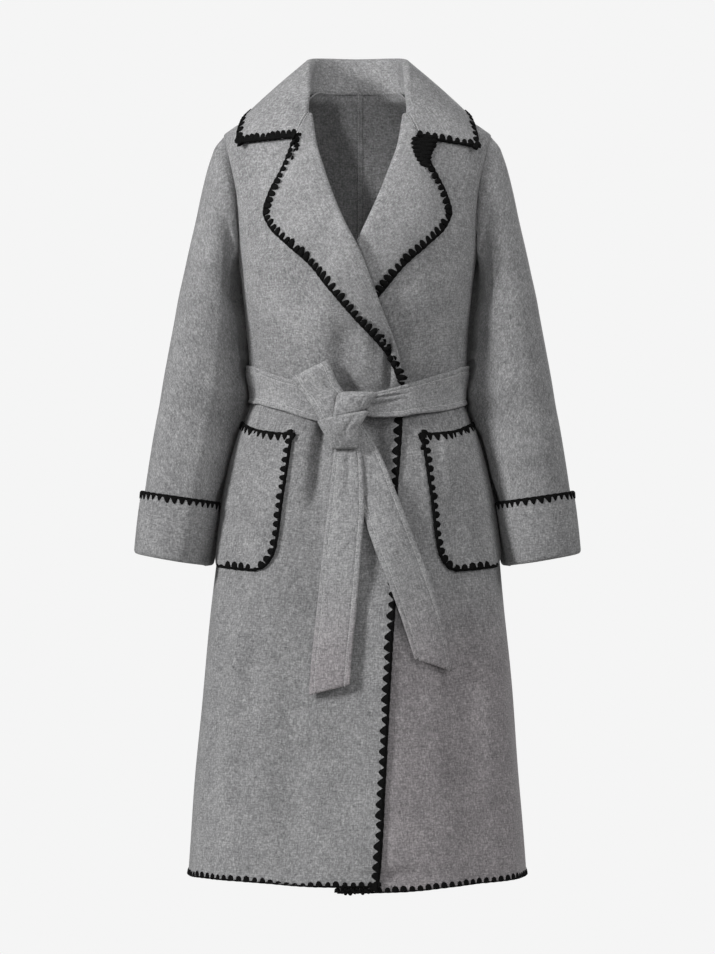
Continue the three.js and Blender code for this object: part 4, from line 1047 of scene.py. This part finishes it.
def stitching_tree(name, corded):
    """Turns a line of points, which carry the way each strand runs and the way out of the cloth,
    into strands. Corded, it adds the yarn along the edge, and strands on the cloth's other face."""
    tree = bpy.data.node_groups.new(name, "GeometryNodeTree")
    socket(tree, "Line", "NodeSocketGeometry")
    socket(tree, "Geometry", "NodeSocketGeometry", in_out="OUTPUT")
    for label, default in [("Pitch", 0.0128), ("Cord", CORD_THICK), ("Deep", TOOTH_DEEP),
                           ("Wide", 0.0095), ("Thick", TOOTH_THICK), ("Off cloth", 0.0014)]:
        socket(tree, label, "NodeSocketFloat", default)
    socket(tree, "Strand", "NodeSocketObject")
    socket(tree, "Yarn", "NodeSocketMaterial")
    socket(tree, "Seed", "NodeSocketInt", 3)
    given = add_node(tree, "NodeGroupInput").outputs
    line = made(tree, "GeometryNodeMeshToCurve", Mesh=given["Line"])
    # The cord is thicker where each strand is looped round it.
    run = add_node(tree, "GeometryNodeSplineParameter").outputs["Length"]
    turns = calculate(tree, "MULTIPLY", calculate(tree, "DIVIDE", run, given["Pitch"]), math.tau)
    lumps = calculate(tree, "MULTIPLY_ADD", calculate(tree, "COSINE", turns), 0.10, 1.0)
    uneven = made(tree, "ShaderNodeTexNoise", Scale=180.0, Detail=1.0)
    full = calculate(tree, "ADD", lumps, calculate(tree, "MULTIPLY_ADD", uneven, 0.5, -0.25))
    radius = calculate(tree, "MULTIPLY", full, calculate(tree, "MULTIPLY", given["Cord"], 0.5))
    cord_line = made(tree, "GeometryNodeResampleCurve", {"mode": "LENGTH"}, Curve=line,
                     Length=0.0022)
    sized = made(tree, "GeometryNodeSetCurveRadius", Curve=cord_line, Radius=radius)
    profile = made(tree, "GeometryNodeCurvePrimitiveCircle", Resolution=8, Radius=1.0)
    cord = add_node(tree, "GeometryNodeCurveToMesh", Curve=sized, Profile_Curve=profile,
                    Fill_Caps=True)
    if "Scale" in cord.inputs:
        tree.links.new(made(tree, "GeometryNodeInputRadius"), cord.inputs["Scale"])
    spaced = made(tree, "GeometryNodeResampleCurve", {"mode": "LENGTH"}, Curve=line,
                  Length=given["Pitch"])
    spots = made(tree, "GeometryNodeCurveToPoints", {"mode": "EVALUATED"}, Curve=spaced)
    inward, facing = (made(tree, "GeometryNodeInputNamedAttribute", {"data_type": "FLOAT_VECTOR"},
                           Name=label) for label in ("inward", "facing"))
    sway, more = (add_node(tree, "FunctionNodeRandomValue", {"data_type": "FLOAT"}, i2=low,
                           i3=high, Seed=given["Seed"]).outputs[1]
                  for low, high in [(-0.2, 0.2), (0.84, 1.12)])
    tilt = made(tree, "ShaderNodeCombineXYZ", Z=sway)
    size = made(tree, "ShaderNodeCombineXYZ", X=given["Deep"], Y=given["Wide"], Z=given["Thick"])
    size = scaled(tree, size, more)
    strand = add_node(tree, "GeometryNodeObjectInfo", {"transform_space": "ORIGINAL"},
                      Object=given["Strand"]).outputs["Geometry"]
    joined = add_node(tree, "GeometryNodeJoinGeometry")
    for face in (1, -1) if corded else (1,):
        out = scaled(tree, facing, face)
        laid = made(tree, "FunctionNodeAxesToRotation",
                    {"primary_axis": "X", "secondary_axis": "Z"},
                    Primary_Axis=inward, Secondary_Axis=out)
        tilted = made(tree, "FunctionNodeRotateRotation", {"rotation_space": "LOCAL"},
                      Rotation=laid, Rotate_By=tilt)
        placed = made(tree, "GeometryNodeInstanceOnPoints", Points=spots, Instance=strand,
                      Rotation=tilted, Scale=size)
        moved = made(tree, "GeometryNodeTranslateInstances", Instances=placed,
                     Translation=scaled(tree, out, given["Off cloth"]), Local_Space=False)
        real = made(tree, "GeometryNodeRealizeInstances", Geometry=moved)
        tree.links.new(real, joined.inputs[0])
    if corded:
        tree.links.new(cord.outputs[0], joined.inputs[0])
    smoothed = made(tree, "GeometryNodeSetShadeSmooth", Geometry=joined.outputs[0])
    dyed = made(tree, "GeometryNodeSetMaterial", Geometry=smoothed, Material=given["Yarn"])
    add_node(tree, "NodeGroupOutput", Geometry=dyed)
    return tree


blanket_stitch = stitching_tree("blanket_stitch", True)
topstitch = stitching_tree("topstitch", False)


def stitched(name, tree, slot, at, runs, facing, **sizes):
    """Runs a tree of stitches along a line of places, and keeps the result as a plain mesh."""
    mesh = bpy.data.meshes.new(name)
    mesh.from_pydata((at * MM).tolist(), [(k, k + 1) for k in range(len(at) - 1)], [])
    for label, vectors in [("inward", runs), ("facing", facing)]:
        kept = mesh.attributes.new(label, "FLOAT_VECTOR", "POINT")
        kept.data.foreach_set("vector", unit(vectors).astype(np.float32).ravel())
    piece = bpy.data.objects.new(name, mesh)
    bpy.context.scene.collection.objects.link(piece)
    modifier = piece.modifiers.new("stitches", "NODES")
    modifier.node_group = tree
    named = {item.name: item.identifier for item in tree.interface.items_tree
             if item.in_out == "INPUT"}
    for label, value in sizes.items():
        modifier[named[label.replace("_", " ")]] = value
    evaluated = piece.evaluated_get(bpy.context.evaluated_depsgraph_get())
    piece.data = bpy.data.meshes.new_from_object(evaluated)
    piece.modifiers.clear()
    piece.data.name = name
    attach(piece, "root")
    return piece


def worked_edge(name, at, inward, facing, strand=rounded, cord=CORD_THICK, **sizes):
    """Blanket stitch along an edge. Its cord covers the edge, and its strands are square to it."""
    onward = unit(np.gradient(at, axis=0))
    square = unit(inward - onward * np.sum(inward * onward, -1, keepdims=True))
    out = np.cross(onward, square)
    facing = out * np.sign(np.sum(out * facing, -1, keepdims=True))
    at = at + square * (cord / 2 / MM - CORD_OVERHANG)
    stitched(f"blanket_stitch_{name}", blanket_stitch, "yarn", at, square, facing, Strand=strand,
             Yarn=yarn, Cord=cord, **sizes)


def yarn_tangle(name, side, out, thick, ends):
    """A heap of yarn where many strands meet in a corner: a cord laid to and fro between ends."""
    x, z = np.array(ends, float).T
    fine = np.linspace(0, len(x) - 1, 8 * len(x))
    x, z = np.interp(fine, range(len(x)), x), np.interp(fine, range(len(z)), z)
    at, facing = form_point(side * turn_at(x, z), z, out)
    stitched(f"blanket_stitch_{name}", blanket_stitch, "yarn", at, np.roll(facing, 1, 1), facing,
             Strand=rounded, Yarn=yarn, Pitch=0.006, Wide=0.005, Deep=0.004, Cord=thick)


def topstitched(name, at, facing, thickness):
    stitched(f"topstitch_{name}", topstitch, "thread", at, np.gradient(at, axis=0), facing,
             Strand=short, Yarn=thread, Pitch=THREAD_PITCH, Deep=THREAD_LONG, Wide=THREAD_THICK,
             Thick=THREAD_THICK, Off_cloth=thickness / 2 * MM)


# The left lapel's stitches are fine up to this height, where the right front lies over them.
OVERLAP_TOP, BELT_HIDES = -306, 9
hem_sizes = dict(cord=HEM_CORD, Pitch=0.0118, Wide=0.0088, Deep=0.0074)
left_edge_z = front_edges[1][0][SKIRT_LINES:LAST_LAPEL_LINE, -1, 2]
covered_lines = int(np.sum(left_edge_z < OVERLAP_TOP))
panel, inner = slice(0, FRONT_COLUMNS + 1), FRONT_COLUMNS
for hand, side in SIDES:
    at, facing = front_edges[side]
    worked_edge(f"hem_front_{hand}", at[0, panel], at[3, panel] - at[0, panel],
                facing[0, panel], **hem_sizes)
    opening = slice(4 if hand == "left" else 0, SKIRT_LINES)
    worked_edge(f"opening_{hand}", at[opening, inner], at[opening, inner - 3] - at[opening, inner],
                facing[opening, inner], pointed, Pitch=0.0148, Wide=0.0142, Deep=0.0098)
    covered = SKIRT_LINES + (covered_lines if hand == "left" else 0)
    for part, turned, sizes in [
        ("covered", slice(SKIRT_LINES + BELT_HIDES, covered + 1),
         dict(cord=0.002, Deep=0.005, Thick=0.001, Off_cloth=0.0008)),
        ("lapel", slice(covered, LAST_LAPEL_LINE + 1),
         dict(cord=0.0056, Deep=0.0126, Thick=0.0042, Off_cloth=0.002)),
    ]:
        if turned.stop - turned.start > 1:
            worked_edge(f"{part}_{hand}", at[turned, -1], at[turned, -4] - at[turned, -1],
                        -facing[turned, -1], Pitch=0.0098, Wide=0.0088, **sizes)
for hand, side in SIDES:
    at, facing = back_edges[side]
    worked_edge(f"hem_back_{hand}", at[0], at[3] - at[0], facing[0], **hem_sizes)
    at, facing = cuff_edges[side]
    ring = np.append(np.arange(SLEEVE_ROUND), 0)
    worked_edge(f"cuff_{hand}", at[0, ring], at[3, ring] - at[0, ring], facing[0, ring],
                pointed, Pitch=0.011, Wide=0.0088)
    at, facing = pocket_edges[side]
    inner = np.stack([at[:, 0], at[:, 3] - at[:, 0], facing[:, 0]])
    bottom = np.stack([at[0], at[3] - at[0], facing[0]])[:, ::-1]
    worked_edge(f"pocket_side_{hand}", *np.concatenate([bottom, inner[:, 1:]], 1), Pitch=0.013,
                Wide=0.0105)
    worked_edge(f"pocket_mouth_{hand}", at[-1], at[-4] - at[-1], facing[-1], pointed,
                Pitch=0.0112, Wide=0.0088, Deep=0.0095)
worked_edge("collar_edge", collar_at[:, -1], collar_at[:, -4] - collar_at[:, -1],
            collar_facing[:, -1], Pitch=0.0122, Wide=0.0114)
for hand, row, inner, sizes in [
    ("right", 0, 3, dict(cord=0.0062, Pitch=0.0076, Wide=0.0086, Deep=0.0098)),
    ("left", -1, -4, dict(Pitch=0.0108, Wide=0.0088)),
]:
    worked_edge(f"collar_end_{hand}", collar_at[row], collar_at[inner] - collar_at[row],
                collar_facing[row], **sizes)

yarn_tangle("notch_left", 1, 14, 0.0065, [
    (84, -73), (108, -76), (78, -79), (112, -81), (76, -85), (110, -87), (77, -91), (106, -93),
    (78, -97), (104, -99), (80, -103), (102, -105), (83, -109), (101, -111), (88, -115),
    (100, -118)])
yarn_tangle("notch_right", -1, 13, 0.0055, [
    (82, -72), (92, -75), (82, -79), (89, -83), (83, -88), (86, -92)])
yarn_tangle("under_corner", 1, 2.5, 0.0036, [
    (-22, -1143), (-22, -1152), (-17, -1144), (-17, -1152), (-12, -1144), (-11, -1152), (-6, -1144),
    (-5, -1152), (0, -1144), (1, -1152), (6, -1144), (7, -1151), (13, -1144),
    (13, -1151), (20, -1145)])
yarn_tangle("pocket_corner", 1, 4.5, 0.005, [
    (90, -498), (95, -504), (90, -509), (94, -515), (91, -519)])

line = round(STITCH_IN / BELT_SEEN * (WAIST_LINES - 1))
for name, row in [("waist_lower", line), ("waist_upper", -1 - line)]:
    topstitched(name, belt_at[row], belt_facing[row], BELT_CLOTH)
topstitched("back_middle", *middle_seam, 2 * ALLOWANCE_THICK)
for hand, side in SIDES:
    for place, gap in [("lapel", -1.8), ("collar", 2.2)]:
        at = np.stack([lapel_top(side, share, gap) for share in np.linspace(0.03, 0.95, 24)])
        ahead = np.tile(unit(np.array([0.35 * side, -1, 0.2])), (len(at), 1))
        topstitched(f"gorge_{place}_{hand}", at, ahead, CLOTH + 0.6)
for name, (at, facing, thickness) in tied_pieces.items():
    column = round(STITCH_IN / BELT_SEEN * (at.shape[1] - 1))
    for end, place in [("one", column), ("other", -1 - column)]:
        topstitched(f"{name}_{end}", at[:, place], facing[:, place], thickness)
